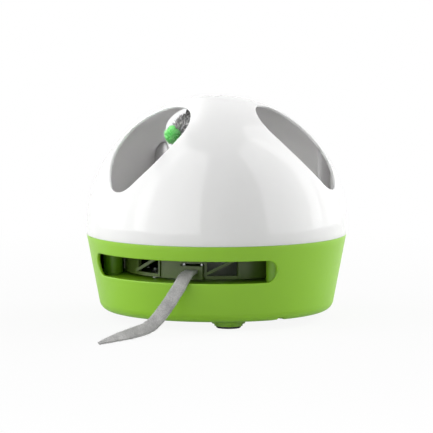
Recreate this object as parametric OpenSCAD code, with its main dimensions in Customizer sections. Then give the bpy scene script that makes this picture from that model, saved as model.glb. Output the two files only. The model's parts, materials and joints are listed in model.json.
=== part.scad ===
// Hiding mouse cat toy: a white dome with three paw windows on a green base.
// A plush mouse and a felt tail turn together on one spindle: the mouse shows
// in the windows, and the tail sweeps to and fro in a slot of the base.
// Millimetres, +Z up, origin on the floor under the middle of the toy.
// A bearing is an angle in plan from the front (-Y), positive towards +X.

/* [Dome] */
// Outside diameter of the dome's sphere
dome_d = 190.8; // [180:0.2:200]
// Wall of the dome
dome_wall = 2.4; // [1.8:0.1:3]
// Height of the dome's top above the seam
dome_rise = 101.3; // [98:0.1:104]
// Radius of a paw window's wide upper end
window_top_r = 30.5; // [28:0.5:34]
// Radius of a paw window's narrow lower end
window_low_r = 16; // [12:0.5:20]
// Distance between the centres of a window's two ends
window_span = 36; // [32:0.5:38]
// Distance of the wide end's centre above the window's axis
window_shift = 11; // [8:0.5:12]
// Elevation of a window's axis, seen from the sphere's centre
window_tilt = 43.5; // [42:0.5:46]

/* [Base] */
// Height of the green base between its underside and the seam
base_h = 55.7; // [54:0.1:60]
// Wall of the base
base_wall = 2.5; // [2:0.1:3]
// Thickness of the base's floor
floor_t = 2.5; // [2:0.1:3]
// Lean of the base's wall from upright, in degrees
base_draft = 10.7; // [9:0.1:12]
// Radius of the rounded lower edge of the base
base_fillet = 8; // [6:0.5:9]
// Height of the feet, from the floor to the base's underside
foot_h = 6; // [5:0.5:8]
// Diameter of a foot's flange
foot_d = 24; // [20:0.5:26]
// Distance of a foot's middle in from the base's lower edge
foot_inset = 22.6; // [20:0.1:26]
// Length of rubber that stands out of a foot
pad_stand = 1.6; // [1:0.1:2.4]

/* [Tail slot] */
// Height of the slot's lower edge above the floor
slot_z = 34.7; // [34:0.1:36]
// Height of the slot
slot_h = 16.2; // [14:0.1:17]
// Bearing of the slot's middle
slot_bearing = -29; // [-33:0.5:-26]
// Angle that the slot spans
slot_span = 98.7; // [94:0.1:104]

/* [Pillars and decks] */
// Diameter of the dome's screw bosses
boss_d = 9.2; // [8.6:0.1:10]
// How much further out than the pillars the bosses stand
boss_out = 3; // [2.4:0.1:3.4]
// Diameter of the base's screw pillars
pillar_d = 14; // [13.4:0.1:14.6]
// Distance of a pillar's middle in from the base's lower edge
pillar_inset = 8.6; // [8:0.1:9.6]
// Shank of the casing screws
casing_screw_d = 3; // [2.6:0.1:3.4]
// Thickness of the paw deck under the dome
deck_t = 2.4; // [2:0.1:3]
// Drop of the paw deck's top below the seam
deck_drop = 2; // [1.5:0.1:3]
// Thickness of the chassis plate
chassis_t = 2.5; // [2:0.1:3]

/* [Gear train] */
// Size of the gear teeth: pitch diameter over number of teeth
gear_module = 0.8; // [0.75:0.01:0.82]
// Face width of each gear
gear_w = 3; // [2.6:0.1:3.2]
// Diameter of the steel spindle
spindle_d = 4; // [3.6:0.1:4.4]
// Diameter of the idler pins
pin_d = 2; // [1.6:0.1:2.2]
// Outside radius of the gearbox cover
cover_r = 42; // [38:0.5:46]
// Wall of the gearbox cover
cover_wall = 1.8; // [1.6:0.1:2.4]
// Long side of the motor can
motor_l = 12; // [11:0.1:12.6]
// Short side of the motor can
motor_w = 10; // [9:0.1:10.6]
// Height of the motor can
motor_h = 13; // [12:0.1:14]

/* [Tail drum] */
// Room between the tail drum and the pillars
drum_gap = 2; // [1:0.1:4]
// Wall of the tail drum
drum_wall = 2.4; // [2:0.1:3]
// Width of the felt tail
tail_w = 9.6; // [8:0.1:11]
// Thickness of the felt tail
tail_t = 2.6; // [2:0.1:3]

/* [Mouse] */
// Diameter of the stem under the mouse
stem_d = 8; // [7:0.5:10]
// Drop of the middle of the mouse's body below the top of the dome
mouse_drop = 23.7; // [22.5:0.1:28]
// Length of the mouse's body
body_l = 50; // [44:0.5:54]
// Radius of the mouse's body
body_r = 14.5; // [13:0.1:15]
// Radius of the mouse's head
head_r = 11.5; // [10.5:0.1:12]
// Diameter of the pompom nose
pompom_d = 14; // [12:0.5:16]

/* [Batteries] */
// Diameter of a battery cell
cell_d = 14.2; // [13.8:0.1:14.5]
// Length of a battery cell with its nub
cell_l = 50.5; // [49:0.1:51]

/* [Hidden] */
$fn = 96;
cut = 1;
joint_gap = 0.3;
fit_gap = 0.05;
run_gap = 0.05;

dome_r = dome_d / 2;
base_z = foot_h;
seam_z = base_z + base_h;
dome_z = seam_z + dome_rise - dome_r;
dome_inner_r = dome_r - dome_wall;
window_count = 3;
window_first = 60;
window_side_r = (window_top_r ^ 2 + window_span ^ 2 - window_low_r ^ 2) / (2 * (window_top_r - window_low_r));
window_low_v = window_shift - window_span;

seam_step = 0.1;
base_top_r = sqrt(dome_r ^ 2 - (dome_z - seam_z) ^ 2) - seam_step;
floor_z = base_z + floor_t;
lip_h = 2.2;
lip_t = 1.8;
lip_gap = 0.2;
lip_r = sqrt(dome_inner_r ^ 2 - (dome_z - seam_z) ^ 2) - lip_gap;

chassis_drop = 1.5;
chassis_top = slot_z - chassis_drop;
chassis_z = chassis_top - chassis_t;
deck_top = seam_z - deck_drop;
deck_z = deck_top - deck_t;

pillar_ring_r = base_r(base_z) - pillar_inset;
pillar_bearings = [26, 146, 266];
boss_ring_r = pillar_ring_r + boss_out;
boss_bearings = [-36, 84, 204];
pillar_cap = 4;
pillar_wall = 2.3;
pillar_bore_d = pillar_d - 2 * pillar_wall;
pillar_mouth = 1.7;
// The notch that leads from a screw well out through the base's round lower edge
well_notch_w = 5.2;
well_notch_h = 2.2;
socket_h = 5;
pillar_top = deck_z - socket_h;
casing_head_d = casing_screw_d * 2;
casing_head_h = casing_screw_d * 0.8;
dome_screw_grip = 7;
casing_screw_l = pillar_cap + socket_h + deck_t / 2;
dome_screw_l = deck_t + dome_screw_grip;

foot_bearings = [0, 120, 240];
foot_ring_r = base_r(base_z) - foot_inset;
foot_flange_h = 2.6;
foot_cup_d = foot_d - 3.6;
pad_d = foot_cup_d - 2.4;
pad_seat = 1.6;

post_bearings = [55, 130, 235, 300];
post_d = 8;
small_screw_d = 2.2;
small_head_d = 4.2;
small_head_h = 1.6;
small_grip = 6;
small_end_room = 1;

pinion_teeth = 10;
wheel_teeth = 28;
pressure = 20;
backlash = 0.2;
tip_height = 0.85 * gear_module;
root_depth = 1.2 * gear_module;
gear_gap = 0.6;
gear_centre = gear_module * (pinion_teeth + wheel_teeth) / 2;
gear_rise = 1.2;
wheel_tip_r = gear_module * wheel_teeth / 2 + tip_height;
motor_bearing = -30;
idler_one_bearing = 30;
idler_two_bearing = 90;
function gear_level(k) = chassis_top + gear_rise + k * (gear_w + gear_gap);
gears_top = gear_level(2) + gear_w;
cover_room = 0.9;
cover_ceiling = gears_top + cover_room;
cover_top = cover_ceiling + cover_wall;
cover_flange_w = 6;
cover_flange_r = cover_r + cover_flange_w;
cover_flange_t = 2;
cover_screw_bearings = [150, 270, 30];
cover_screw_r = cover_r + cover_flange_w / 2;
idler_boss_d = pin_d + 3;
cover_boss_d = 6;
cover_boss_h = 4;
cover_screw_grip = 3;

bush_d = spindle_d + 3;
bush_stand = 0.5;
hub_boss_d = bush_d + 4;
hub_boss_h = 5.5;
clip_t = 1;
clip_d = spindle_d + 4;
spindle_tail = 1.2;
spindle_low = chassis_z - hub_boss_h - clip_t - joint_gap - spindle_tail;
spindle_grip = 6;
spindle_high = deck_top + spindle_grip;

shaft_d = 1.5;
motor_cap_h = 2;
pocket_wall = 1.6;
pocket_gap = 0.1;
clamp_t = 1.8;
clamp_screw_reach = 3.4;
motor_nose_d = 4;
motor_nose_h = 1.5;
motor_head_d = 3.6;
motor_screw_x = motor_l / 2 + pocket_gap + pocket_wall + 0.38 * clamp_screw_reach;
motor_top = chassis_z;
motor_low = motor_top - motor_h - motor_cap_h;

drum_r = pillar_ring_r - pillar_d / 2 - drum_gap;
post_ring_r = (cover_flange_r + drum_r - drum_wall) / 2;
drum_lift = 2.2;
drum_low = chassis_top + drum_lift;
drum_top_room = 1;
drum_high = deck_z - drum_top_room;
drum_plate_t = 2.2;
drum_ring_h = 2.4;
drum_hub_d = 16;
drum_hub_low = cover_top + bush_stand + joint_gap;
drum_window_first = -4.4;
drum_window_count = 7;
drum_window_span = 19;
drum_window_low = drum_low + drum_ring_h;
drum_window_high = drum_high - drum_plate_t - drum_ring_h;
brace_t = 2.2;
brace_depth = 1.6;
brace_inset = 0.3;
brace_slope = 26;
rib_t = 1.4;
rib_depth = 1.1;
rib_inset = 0.5;
rib_offsets = [10.4];
rib_clear = 12;

tail_bearing = -23;
tail_z = 41;
tail_fit = 0.2;
jaw_cheek = 3.7;
jaw_sink = 9;
jaw_stand = 4;
jaw_w = tail_w + 2 * jaw_cheek;
jaw_in_r = drum_r - jaw_sink;
jaw_out_r = drum_r + jaw_stand;
jaw_top = tail_z - tail_t / 2 - tail_fit;
tail_clamp_z = tail_z + tail_t / 2 + tail_fit;
tail_clamp_t = 2.6;
clamp_screw_d = 1.4;
clamp_head_d = 2.4;
clamp_head_h = 1.2;
clamp_screw_grip = 3;
clamp_screw_r = (jaw_in_r + jaw_out_r) / 2;
clamp_screw_x = (tail_w + jaw_cheek) / 2;
// The tail's own path, from the clamp on the drum, over the slot's sill and down to the floor
tail_route = [
    [-23, -54.3, 41], [-25.9, -60.9, 41], [-28.7, -67.6, 41], [-31.6, -74.4, 40.6],
    [-34.4, -80.2, 38.7], [-37.6, -85.4, 34.8], [-41.6, -88.8, 29.2], [-46.2, -91.6, 23],
    [-51.4, -94.2, 16.4], [-57.2, -97.4, 10.2], [-63.6, -102.2, 6.2], [-70.6, -108.6, 4.8],
    [-78, -116, 3.9], [-86, -124.4, 3.2], [-94.2, -133, 2.3], [-102, -141, 1.3]
];
// Which way the tail's width points at each point of its path: it twists as it comes down
tail_aim = [
    [0.92, -0.39, 0], [0.92, -0.39, 0], [0.92, -0.39, 0], [0.92, -0.39, 0],
    [0.92, -0.39, 0], [0.92, -0.37, -0.05], [0.92, -0.34, -0.12], [0.9, -0.32, -0.2],
    [0.86, -0.34, -0.32], [0.78, -0.4, -0.45], [0.68, -0.46, -0.56], [0.58, -0.5, -0.65],
    [0.52, -0.5, -0.7], [0.5, -0.5, -0.7], [0.5, -0.5, -0.7], [0.5, -0.5, -0.7]
];
tail_taper = [1, 1, 1, 1, 1, 1, 1, 1, 1, 1, 0.97, 0.92, 0.82, 0.66, 0.45, 0.2];

mouse_bearing = -70;
mouse_z = dome_z + dome_r - mouse_drop;
body_back = 31;
neck_x = 5.9;
neck_rise = 2.5;
head_l = 29;
head_pitch = 13;
nose_out = 1;
ear_r = 6;
ear_t = 2;
ear_sink = 0.6;
eye_r = 1.6;
body_egg = -0.12;
head_egg = -0.1;
// Places on the head, as parts of its length and radius: along it, out to the side, up
ear_place = [0.5, 0.6, 0.46];
ear_lean = [-24, -14, 20];
eye_place = [0.62, 0.76, 0.2];
plush_gap = 0.2;
stem_foot_d = 12;
stem_foot_h = 2.4;
stem_flange_d = 15;
stem_flange_t = 1.6;
stem_peg_l = 8;
stem_peg_d = 5;
stem_top = mouse_z - body_r - joint_gap;
deck_hole_d = stem_foot_d + 5;

cell_count = 3;
cell_pitch = cell_d + 1;
cell_room = 0.6;
contact_t = 0.5;
contact_w = 9;
contact_reach = 2.4;
bay_wall = 2;
bay_w = cell_count * cell_pitch + cell_room;
bay_low_y = hub_boss_d / 2 + bay_wall + 1.5;
bay_l = cell_l + 2 * (contact_t + contact_reach + joint_gap);
bay_ceiling = floor_z + 2 * cell_room + cell_d;
cell_z = floor_z + cell_room + cell_d / 2;
nub_d = 5.5;
nub_l = 1;
door_ledge = 1;
door_gap = 0.3;
door_t = floor_t - 0.1;
door_w = bay_w + 2 * (door_ledge - door_gap);
door_l = bay_l + 2 * (door_ledge - door_gap);
door_low_y = bay_low_y - door_ledge + door_gap;
door_pin_d = 1.4;
door_pin_l = 1.6;
door_axis_y = door_low_y + door_t / 2;
door_axis_z = base_z + door_t / 2;
grip_w = 18;
grip_depth = 1;
grip_count = 4;
grip_in = 6;
grip_pitch = 3;
grip_slot = 1.4;

board_w = 44;
board_d = 20;
board_t = 1.6;
board_y = -47;
board_lift = 4.5;
board_post_d = 6;
board_screw_room = 0.5;
board_screw_x = board_w / 2 - 4;
chip_w = 9;
chip_t = 1.6;
chip_d = 5.4;
chip_shift = -1.5;
capacitor_x = 10;
capacitor_shift = -3;
capacitor_d = 6.3;
capacitor_h = 8;

switch_x = -35;
switch_y = -24;
switch_travel = 4;
switch_w = 14;
switch_d = 8;
switch_h = 6;
knob_w = 3;
knob_d = 2.4;
knob_rise = 2.6;
knob_pad_w = 5;
knob_pad_d = 4.6;
knob_pad_h = 1.6;

lead_d = 1.3;
// Insulated leads between the battery bay, the circuit board and the motor
red_lead_route = [
    [9, 6.2, 20], [9.5, 0, 19], [12, -12, 16.5], [15, -24, 15.2], [16, -34, 15.2], [16, -40, 15.3]
];
black_lead_route = [
    [-16, 6.2, 20], [-19.5, 0, 19], [-21.5, -12, 17], [-21, -24, 15.4], [-18, -34, 15.2], [-16, -40, 15.3]
];

// Helpers

module at_bearing(bearing, r = 0) {
    rotate([0, 0, bearing]) translate([0, -r, 0]) children();
}

// A ring cut out of a round wall between two bearings
module sector(low_bearing, high_bearing, r_in, r_out, z_low, z_high) {
    rotate([0, 0, low_bearing - 90])
        rotate_extrude(angle = high_bearing - low_bearing)
            translate([r_in, z_low]) square([r_out - r_in, z_high - z_low]);
}

module tube(d, bore, h) {
    difference() {
        cylinder(d = d, h = h);
        translate([0, 0, -cut]) cylinder(d = bore, h = h + 2 * cut);
    }
}

// A pan head screw that points up, with its head's seat at z = 0
module screw(d, length, head_d, head_h) {
    slot_w = head_d * 0.18;
    slot_l = head_d * 0.62;
    slot_depth = head_h * 0.45;
    cylinder(d = d, h = length);
    difference() {
        translate([0, 0, -head_h]) cylinder(d = head_d, h = head_h);
        for (turn = [0, 90])
            rotate([0, 0, turn])
                translate([-slot_l / 2, -slot_w / 2, -head_h - cut])
                    cube([slot_l, slot_w, slot_depth + cut]);
    }
}

// A solid that swells and tapers along +Z: egg is below 0 where the far end is the slimmer one
module plush(length, radius, egg, grow = 0) {
    steps = 20;
    rotate_extrude()
        polygon(concat(
            [for (k = [0 : steps])
                let (a = 180 * k / steps, s = -cos(a))
                [max(0, (radius + grow) * sin(a) * (1 + egg * s)), length / 2 + (length / 2 + grow) * s]]
        ));
}

function involute_turn(base_r, r) =
    let (a = acos(min(1, base_r / r))) tan(a) * 180 / PI - a;

// Outline of a spur gear, with a tooth's middle on +X
module gear_outline(teeth) {
    pitch_r = gear_module * teeth / 2;
    tip_r = pitch_r + tip_height;
    root_r = pitch_r - root_depth;
    inv_r = pitch_r * cos(pressure);
    start_r = max(inv_r, root_r);
    half_tooth = 90 / teeth - backlash / 4 / pitch_r * 180 / PI;
    at_pitch = involute_turn(inv_r, pitch_r);
    steps = 4;
    radii = concat([root_r], [for (k = [0 : steps]) start_r + (tip_r - start_r) * k / steps]);
    flank = [for (r = radii) [r, half_tooth + at_pitch - involute_turn(inv_r, max(r, inv_r))]];
    last = len(flank) - 1;
    polygon([
        for (t = [0 : teeth - 1]) each concat(
            [for (p = flank) p[0] * [cos(t * 360 / teeth - p[1]), sin(t * 360 / teeth - p[1])]],
            [for (k = [0 : last]) let (p = flank[last - k])
                p[0] * [cos(t * 360 / teeth + p[1]), sin(t * 360 / teeth + p[1])]]
        )
    ]);
}

// A gear whose tooth, or whose gap, faces a plan direction given in degrees from +X
module gear(teeth, z, facing, gap_faces = false) {
    turn = gap_faces ? 180 / teeth : 0;
    translate([0, 0, z]) rotate([0, 0, facing + turn]) linear_extrude(gear_w) gear_outline(teeth);
}

function unit(v) = v / norm(v);
function path_way(path, k) =
    unit(path[min(k + 1, len(path) - 1)] - path[max(k - 1, 0)]);

// A closed tube along a path: each ring is an oval across the path
module swept(path, sides, rings) {
    count = len(path);
    points = [for (k = [0 : count - 1], s = [0 : sides - 1]) rings[k][s]];
    skin = [
        for (k = [0 : count - 2], s = [0 : sides - 1])
            let (a = k * sides + s, b = k * sides + (s + 1) % sides)
            each [[a, a + sides, b], [b, a + sides, b + sides]]
    ];
    ends = [
        for (s = [1 : sides - 2])
            each [[0, s, s + 1], [(count - 1) * sides, (count - 1) * sides + s + 1, (count - 1) * sides + s]]
    ];
    polyhedron(points = points, faces = concat(skin, ends), convexity = 6);
}

module lead(path) {
    sides = 8;
    rings = [
        for (k = [0 : len(path) - 1])
            let (way = path_way(path, k), side = unit(cross(way, [0, 0, 1])), up = cross(side, way))
            [for (s = [0 : sides - 1])
                path[k] + lead_d / 2 * (cos(360 * s / sides) * side + sin(360 * s / sides) * up)]
    ];
    swept(path, sides, rings);
}

// Casing

function base_r(z) = base_top_r - (seam_z - z) * tan(base_draft);

// Half profile of the base, drawn in from its outside by a depth
function base_profile(depth, low_z) =
    let (
        fillet = max(1, base_fillet - depth),
        steps = 8,
        wall_z = low_z + fillet * (1 - sin(base_draft)),
        flat_r = base_r(wall_z) - depth / cos(base_draft) - fillet * cos(base_draft)
    )
    concat(
        [[0, low_z]],
        [for (k = [0 : steps])
            let (a = -90 + (90 - base_draft) * k / steps)
            [flat_r + fillet * cos(a), low_z + fillet + fillet * sin(a)]]
    );

function base_outline(depth, low_z, high_z) =
    concat(
        base_profile(depth, low_z),
        [[base_r(high_z) - depth / cos(base_draft), high_z], [0, high_z]]
    );

// Points of an arc, where a skipped end is left to the arc that it meets
function arc(centre, r, from, to, steps, skip_from = 0, skip_to = 0) =
    [for (k = [skip_from : steps - skip_to])
        let (a = from + (to - from) * k / steps) centre + r * [cos(a), sin(a)]];

// Egg outline of a window: the wide end, two side arcs and the narrow end, all tangent
module window_outline() {
    side_x = window_side_r - window_top_r;
    meet = asin(window_span / (window_side_r - window_low_r));
    polygon(concat(
        arc([0, window_shift], window_top_r, 0, 180, 24),
        arc([side_x, window_shift], window_side_r, 180, 180 + meet, 8, skip_from = 1),
        arc([0, window_low_v], window_low_r, 180 + meet, 360 - meet, 12, skip_from = 1, skip_to = 1),
        arc([-side_x, window_shift], window_side_r, 360 - meet, 360, 8, skip_to = 1)
    ));
}

module window_cutter() {
    reach = dome_r + cut;
    depth = dome_r * 0.6;
    translate([0, 0, dome_z])
        rotate([90 - window_tilt, 0, 0])
            translate([0, 0, reach - depth]) linear_extrude(depth) window_outline();
}

module dome_shell() color("white") {
    pilot_d = casing_screw_d + 2 * fit_gap;
    difference() {
        union() {
            difference() {
                translate([0, 0, dome_z]) sphere(r = dome_r);
                translate([0, 0, dome_z]) sphere(r = dome_inner_r);
                translate([-dome_r, -dome_r, dome_z - 2 * dome_r])
                    cube([2 * dome_r, 2 * dome_r, seam_z - dome_z + 2 * dome_r]);
                for (k = [0 : window_count - 1])
                    rotate([0, 0, window_first + k * 360 / window_count]) window_cutter();
            }
            intersection() {
                for (bearing = boss_bearings)
                    at_bearing(bearing, boss_ring_r)
                        translate([0, 0, deck_top]) cylinder(d = boss_d, h = dome_rise);
                translate([0, 0, dome_z]) sphere(r = dome_inner_r + dome_wall / 2);
            }
        }
        for (bearing = boss_bearings)
            at_bearing(bearing, boss_ring_r)
                translate([0, 0, deck_top - cut]) cylinder(d = pilot_d, h = dome_screw_grip + 2 * cut);
    }
}

module slot_cutter() {
    half = slot_span / 2;
    end_r = slot_h / 2;
    reach = base_top_r + cut;
    mid_r = base_r(slot_z + end_r);
    inset = asin(end_r / mid_r);
    depth = base_top_r - pillar_ring_r + pillar_d / 2;
    step = 0.05;
    run = half - inset;
    sector(slot_bearing - run, slot_bearing + run, reach - depth, reach, slot_z, slot_z + slot_h);
    for (side = [-1, 1])
        at_bearing(slot_bearing + side * run, reach)
            translate([0, depth, slot_z + end_r]) rotate([90, 0, 0]) cylinder(r = end_r - step, h = depth);
}

module foot_cup() {
    translate([0, 0, base_z - foot_flange_h]) cylinder(d = foot_d, h = foot_flange_h + floor_t / 2);
    translate([0, 0, pad_stand]) cylinder(d = foot_cup_d, h = base_z - pad_stand);
}

module base_tub() color("yellowgreen") {
    shank_d = casing_screw_d + 4 * fit_gap;
    post_hole_d = small_screw_d + 2 * fit_gap;
    mouth_d = pillar_bore_d + 2 * (pillar_mouth + cut);
    knob_room_w = switch_travel + knob_w + 2 * joint_gap;
    knob_room_d = knob_d + 2 * joint_gap;
    bay_high = bay_ceiling + bay_wall;
    board_z = floor_z + board_lift;
    difference() {
        union() {
            difference() {
                rotate_extrude() polygon(base_outline(0, base_z, seam_z));
                rotate_extrude() polygon(base_outline(base_wall, floor_z, seam_z + cut));
                slot_cutter();
            }
            difference() {
                translate([0, 0, seam_z - lip_h]) cylinder(r = lip_r, h = 2 * lip_h);
                translate([0, 0, seam_z - lip_h - cut]) cylinder(r = lip_r - lip_t, h = 2 * (lip_h + cut));
            }
            intersection() {
                for (bearing = pillar_bearings)
                    at_bearing(bearing, pillar_ring_r)
                        translate([0, 0, base_z]) cylinder(d = pillar_d, h = pillar_top - base_z);
                rotate_extrude() polygon(base_outline(base_wall / 2, base_z, seam_z));
            }
            for (bearing = post_bearings)
                at_bearing(bearing, post_ring_r)
                    translate([0, 0, base_z + floor_t / 2])
                        cylinder(d = post_d, h = chassis_z - floor_z + floor_t / 2);
            for (bearing = foot_bearings) at_bearing(bearing, foot_ring_r) foot_cup();
            for (side = [-1, 1])
                translate([side * board_screw_x, board_y, base_z + floor_t / 2])
                    cylinder(d = board_post_d, h = board_z - base_z - floor_t / 2);
            translate([-bay_w / 2 - bay_wall, bay_low_y - bay_wall, floor_z - floor_t / 2])
                cube([bay_w + 2 * bay_wall, bay_l + 2 * bay_wall, bay_high - floor_z + floor_t / 2]);
        }
        translate([-bay_w / 2, bay_low_y, base_z - cut]) cube([bay_w, bay_l, bay_ceiling - base_z + cut]);
        translate([-bay_w / 2 - door_ledge, bay_low_y - door_ledge, base_z - cut])
            cube([bay_w + 2 * door_ledge, bay_l + 2 * door_ledge, floor_t + cut]);
        translate([-bay_w / 2 - door_ledge - door_pin_l - cut / 2, door_axis_y, door_axis_z])
            rotate([0, 90, 0])
                cylinder(d = door_pin_d + 2 * run_gap, h = bay_w + 2 * door_ledge + 2 * door_pin_l + cut);
        for (bearing = pillar_bearings)
            at_bearing(bearing, pillar_ring_r) {
                translate([0, 0, base_z - cut])
                    cylinder(d = pillar_bore_d, h = pillar_top - pillar_cap - base_z + cut);
                translate([0, 0, base_z - cut])
                    cylinder(d1 = mouth_d, d2 = pillar_bore_d, h = pillar_mouth + cut);
                translate([-well_notch_w / 2, -pillar_inset - cut, base_z - cut])
                    cube([well_notch_w, pillar_inset + cut, well_notch_h + cut]);
                translate([0, 0, base_z]) cylinder(d = shank_d, h = base_h);
            }
        for (bearing = post_bearings)
            at_bearing(bearing, post_ring_r)
                translate([0, 0, chassis_z - small_grip]) cylinder(d = post_hole_d, h = small_grip + cut);
        for (bearing = foot_bearings)
            at_bearing(bearing, foot_ring_r)
                translate([0, 0, pad_stand - cut]) cylinder(d = pad_d + 2 * fit_gap, h = pad_seat + cut);
        for (side = [-1, 1])
            translate([side * board_screw_x, board_y, floor_z])
                cylinder(d = post_hole_d, h = board_lift + cut);
        translate([switch_x - knob_room_w / 2, switch_y - knob_room_d / 2, base_z - cut])
            cube([knob_room_w, knob_room_d, floor_t + 2 * cut]);
    }
}

// The floor of the mouse's room: it hangs from the dome's bosses and stands on the pillars
module paw_deck() color("silver") {
    shank_d = casing_screw_d + 4 * fit_gap;
    pilot_d = casing_screw_d + 2 * fit_gap;
    difference() {
        union() {
            translate([0, 0, deck_z]) cylinder(r = lip_r - lip_t - joint_gap, h = deck_t);
            for (bearing = pillar_bearings)
                at_bearing(bearing, pillar_ring_r)
                    translate([0, 0, pillar_top]) cylinder(d = pillar_d, h = socket_h + deck_t / 2);
        }
        translate([0, 0, deck_z - cut]) cylinder(d = deck_hole_d, h = deck_t + 2 * cut);
        for (bearing = boss_bearings)
            at_bearing(bearing, boss_ring_r)
                translate([0, 0, deck_z - cut]) cylinder(d = shank_d, h = deck_t + 2 * cut);
        for (bearing = pillar_bearings)
            at_bearing(bearing, pillar_ring_r)
                translate([0, 0, pillar_top - cut])
                    cylinder(d = pilot_d, h = casing_screw_l - pillar_cap + fit_gap + cut);
    }
}

module casing_screws() color("silver") {
    for (bearing = pillar_bearings)
        at_bearing(bearing, pillar_ring_r)
            translate([0, 0, pillar_top - pillar_cap])
                screw(casing_screw_d, casing_screw_l, casing_head_d, casing_head_h);
}

module dome_screws() color("silver") {
    for (bearing = boss_bearings)
        at_bearing(bearing, boss_ring_r)
            translate([0, 0, deck_z]) screw(casing_screw_d, dome_screw_l, casing_head_d, casing_head_h);
}

module rubber_foot(k) color("dimgray") {
    at_bearing(foot_bearings[k], foot_ring_r) {
        chamfer = min(0.6, pad_stand / 2);
        cylinder(d1 = pad_d - 2 * chamfer, d2 = pad_d, h = chamfer);
        translate([0, 0, chamfer]) cylinder(d = pad_d, h = pad_stand + pad_seat - chamfer);
    }
}

// Gearbox and motor

module chassis_plate() color("olivedrab") {
    rim_r = base_r(chassis_z) - base_wall / cos(base_draft) - joint_gap;
    post_hole_d = small_screw_d + 4 * fit_gap;
    cover_hole_d = small_screw_d + 2 * fit_gap;
    pocket_l = motor_l + 2 * pocket_gap;
    pocket_w = motor_w + 2 * pocket_gap;
    block_l = pocket_l + 2 * (pocket_wall + clamp_screw_reach);
    block_w = pocket_w + 2 * pocket_wall;
    difference() {
        union() {
            translate([0, 0, chassis_z]) cylinder(r = rim_r, h = chassis_t);
            translate([0, 0, chassis_z - hub_boss_h])
                cylinder(d = hub_boss_d, h = hub_boss_h + chassis_t / 2);
            at_bearing(idler_one_bearing, gear_centre)
                translate([0, 0, chassis_z])
                    cylinder(d = idler_boss_d, h = gear_level(0) - joint_gap - chassis_z);
            at_bearing(idler_two_bearing, gear_centre)
                translate([0, 0, chassis_z])
                    cylinder(d = idler_boss_d, h = gear_level(1) - joint_gap - chassis_z);
            for (bearing = cover_screw_bearings)
                at_bearing(bearing, cover_screw_r)
                    translate([0, 0, chassis_z - cover_boss_h])
                        cylinder(d = cover_boss_d, h = cover_boss_h + chassis_t / 2);
            at_motor()
                translate([-block_l / 2, -block_w / 2, motor_low + motor_cap_h])
                    cube([block_l, block_w, motor_h + chassis_t / 2]);
        }
        at_motor() {
            translate([-pocket_l / 2, -pocket_w / 2, motor_low])
                cube([pocket_l, pocket_w, motor_top - motor_low]);
            cylinder(d = motor_nose_d + 1, h = seam_z);
            for (side = [-1, 1])
                translate([side * motor_screw_x, 0, motor_low])
                    cylinder(d = cover_hole_d, h = motor_cap_h + small_grip + cut);
        }
        translate([0, 0, base_z]) cylinder(d = bush_d + 2 * fit_gap, h = seam_z);
        at_bearing(idler_one_bearing, gear_centre)
            translate([0, 0, base_z]) cylinder(d = pin_d + 2 * fit_gap, h = seam_z);
        at_bearing(idler_two_bearing, gear_centre)
            translate([0, 0, base_z]) cylinder(d = pin_d + 2 * fit_gap, h = seam_z);
        for (bearing = cover_screw_bearings)
            at_bearing(bearing, cover_screw_r)
                translate([0, 0, base_z]) cylinder(d = cover_hole_d, h = seam_z);
        for (bearing = post_bearings)
            at_bearing(bearing, post_ring_r)
                translate([0, 0, base_z]) cylinder(d = post_hole_d, h = seam_z);
        for (bearing = pillar_bearings)
            at_bearing(bearing, pillar_ring_r)
                translate([0, 0, base_z]) cylinder(d = pillar_d + 2 * joint_gap, h = seam_z);
    }
}

module at_motor() {
    at_bearing(motor_bearing, gear_centre) rotate([0, 0, -motor_bearing]) children();
}

module chassis_screws() color("silver") {
    for (bearing = post_bearings)
        at_bearing(bearing, post_ring_r)
            translate([0, 0, chassis_top]) mirror([0, 0, 1])
                screw(small_screw_d, chassis_t + small_grip - small_end_room, small_head_d, small_head_h);
}

module gearbox_cover() color("gainsboro") {
    screw_hole_d = small_screw_d + 4 * fit_gap;
    bush_hole_d = bush_d + 2 * fit_gap;
    boss_high = cover_top - cover_wall / 2;
    difference() {
        union() {
            difference() {
                union() {
                    translate([0, 0, chassis_top]) cylinder(r = cover_r, h = cover_top - chassis_top);
                    translate([0, 0, chassis_top]) cylinder(r = cover_flange_r, h = cover_flange_t);
                }
                translate([0, 0, chassis_top - cut])
                    cylinder(r = cover_r - cover_wall, h = cover_ceiling - chassis_top + cut);
            }
            at_bearing(idler_one_bearing, gear_centre)
                translate([0, 0, gear_level(1) + gear_w + joint_gap])
                    cylinder(d = idler_boss_d, h = boss_high - gear_level(1) - gear_w - joint_gap);
            at_bearing(idler_two_bearing, gear_centre)
                translate([0, 0, gears_top + joint_gap])
                    cylinder(d = idler_boss_d, h = boss_high - gears_top - joint_gap);
        }
        translate([0, 0, chassis_top]) cylinder(d = bush_hole_d, h = seam_z);
        for (bearing = [idler_one_bearing, idler_two_bearing])
            at_bearing(bearing, gear_centre)
                translate([0, 0, chassis_top])
                    cylinder(d = pin_d + 2 * fit_gap, h = cover_ceiling - chassis_top + cover_wall / 4);
        for (bearing = cover_screw_bearings)
            at_bearing(bearing, cover_screw_r)
                translate([0, 0, chassis_top - cut])
                    cylinder(d = screw_hole_d, h = cover_flange_t + 2 * cut);
    }
}

module cover_screws() color("silver") {
    length = cover_flange_t + chassis_t + cover_screw_grip;
    for (bearing = cover_screw_bearings)
        at_bearing(bearing, cover_screw_r)
            translate([0, 0, chassis_top + cover_flange_t])
                mirror([0, 0, 1])
                    screw(small_screw_d, length, small_head_d, small_head_h);
}

module lower_bush() color("goldenrod") {
    translate([0, 0, chassis_z - hub_boss_h]) tube(bush_d, spindle_d + 2 * run_gap, hub_boss_h + chassis_t);
}

module upper_bush() color("goldenrod") {
    translate([0, 0, cover_ceiling]) tube(bush_d, spindle_d + 2 * run_gap, cover_wall + bush_stand);
}

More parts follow.
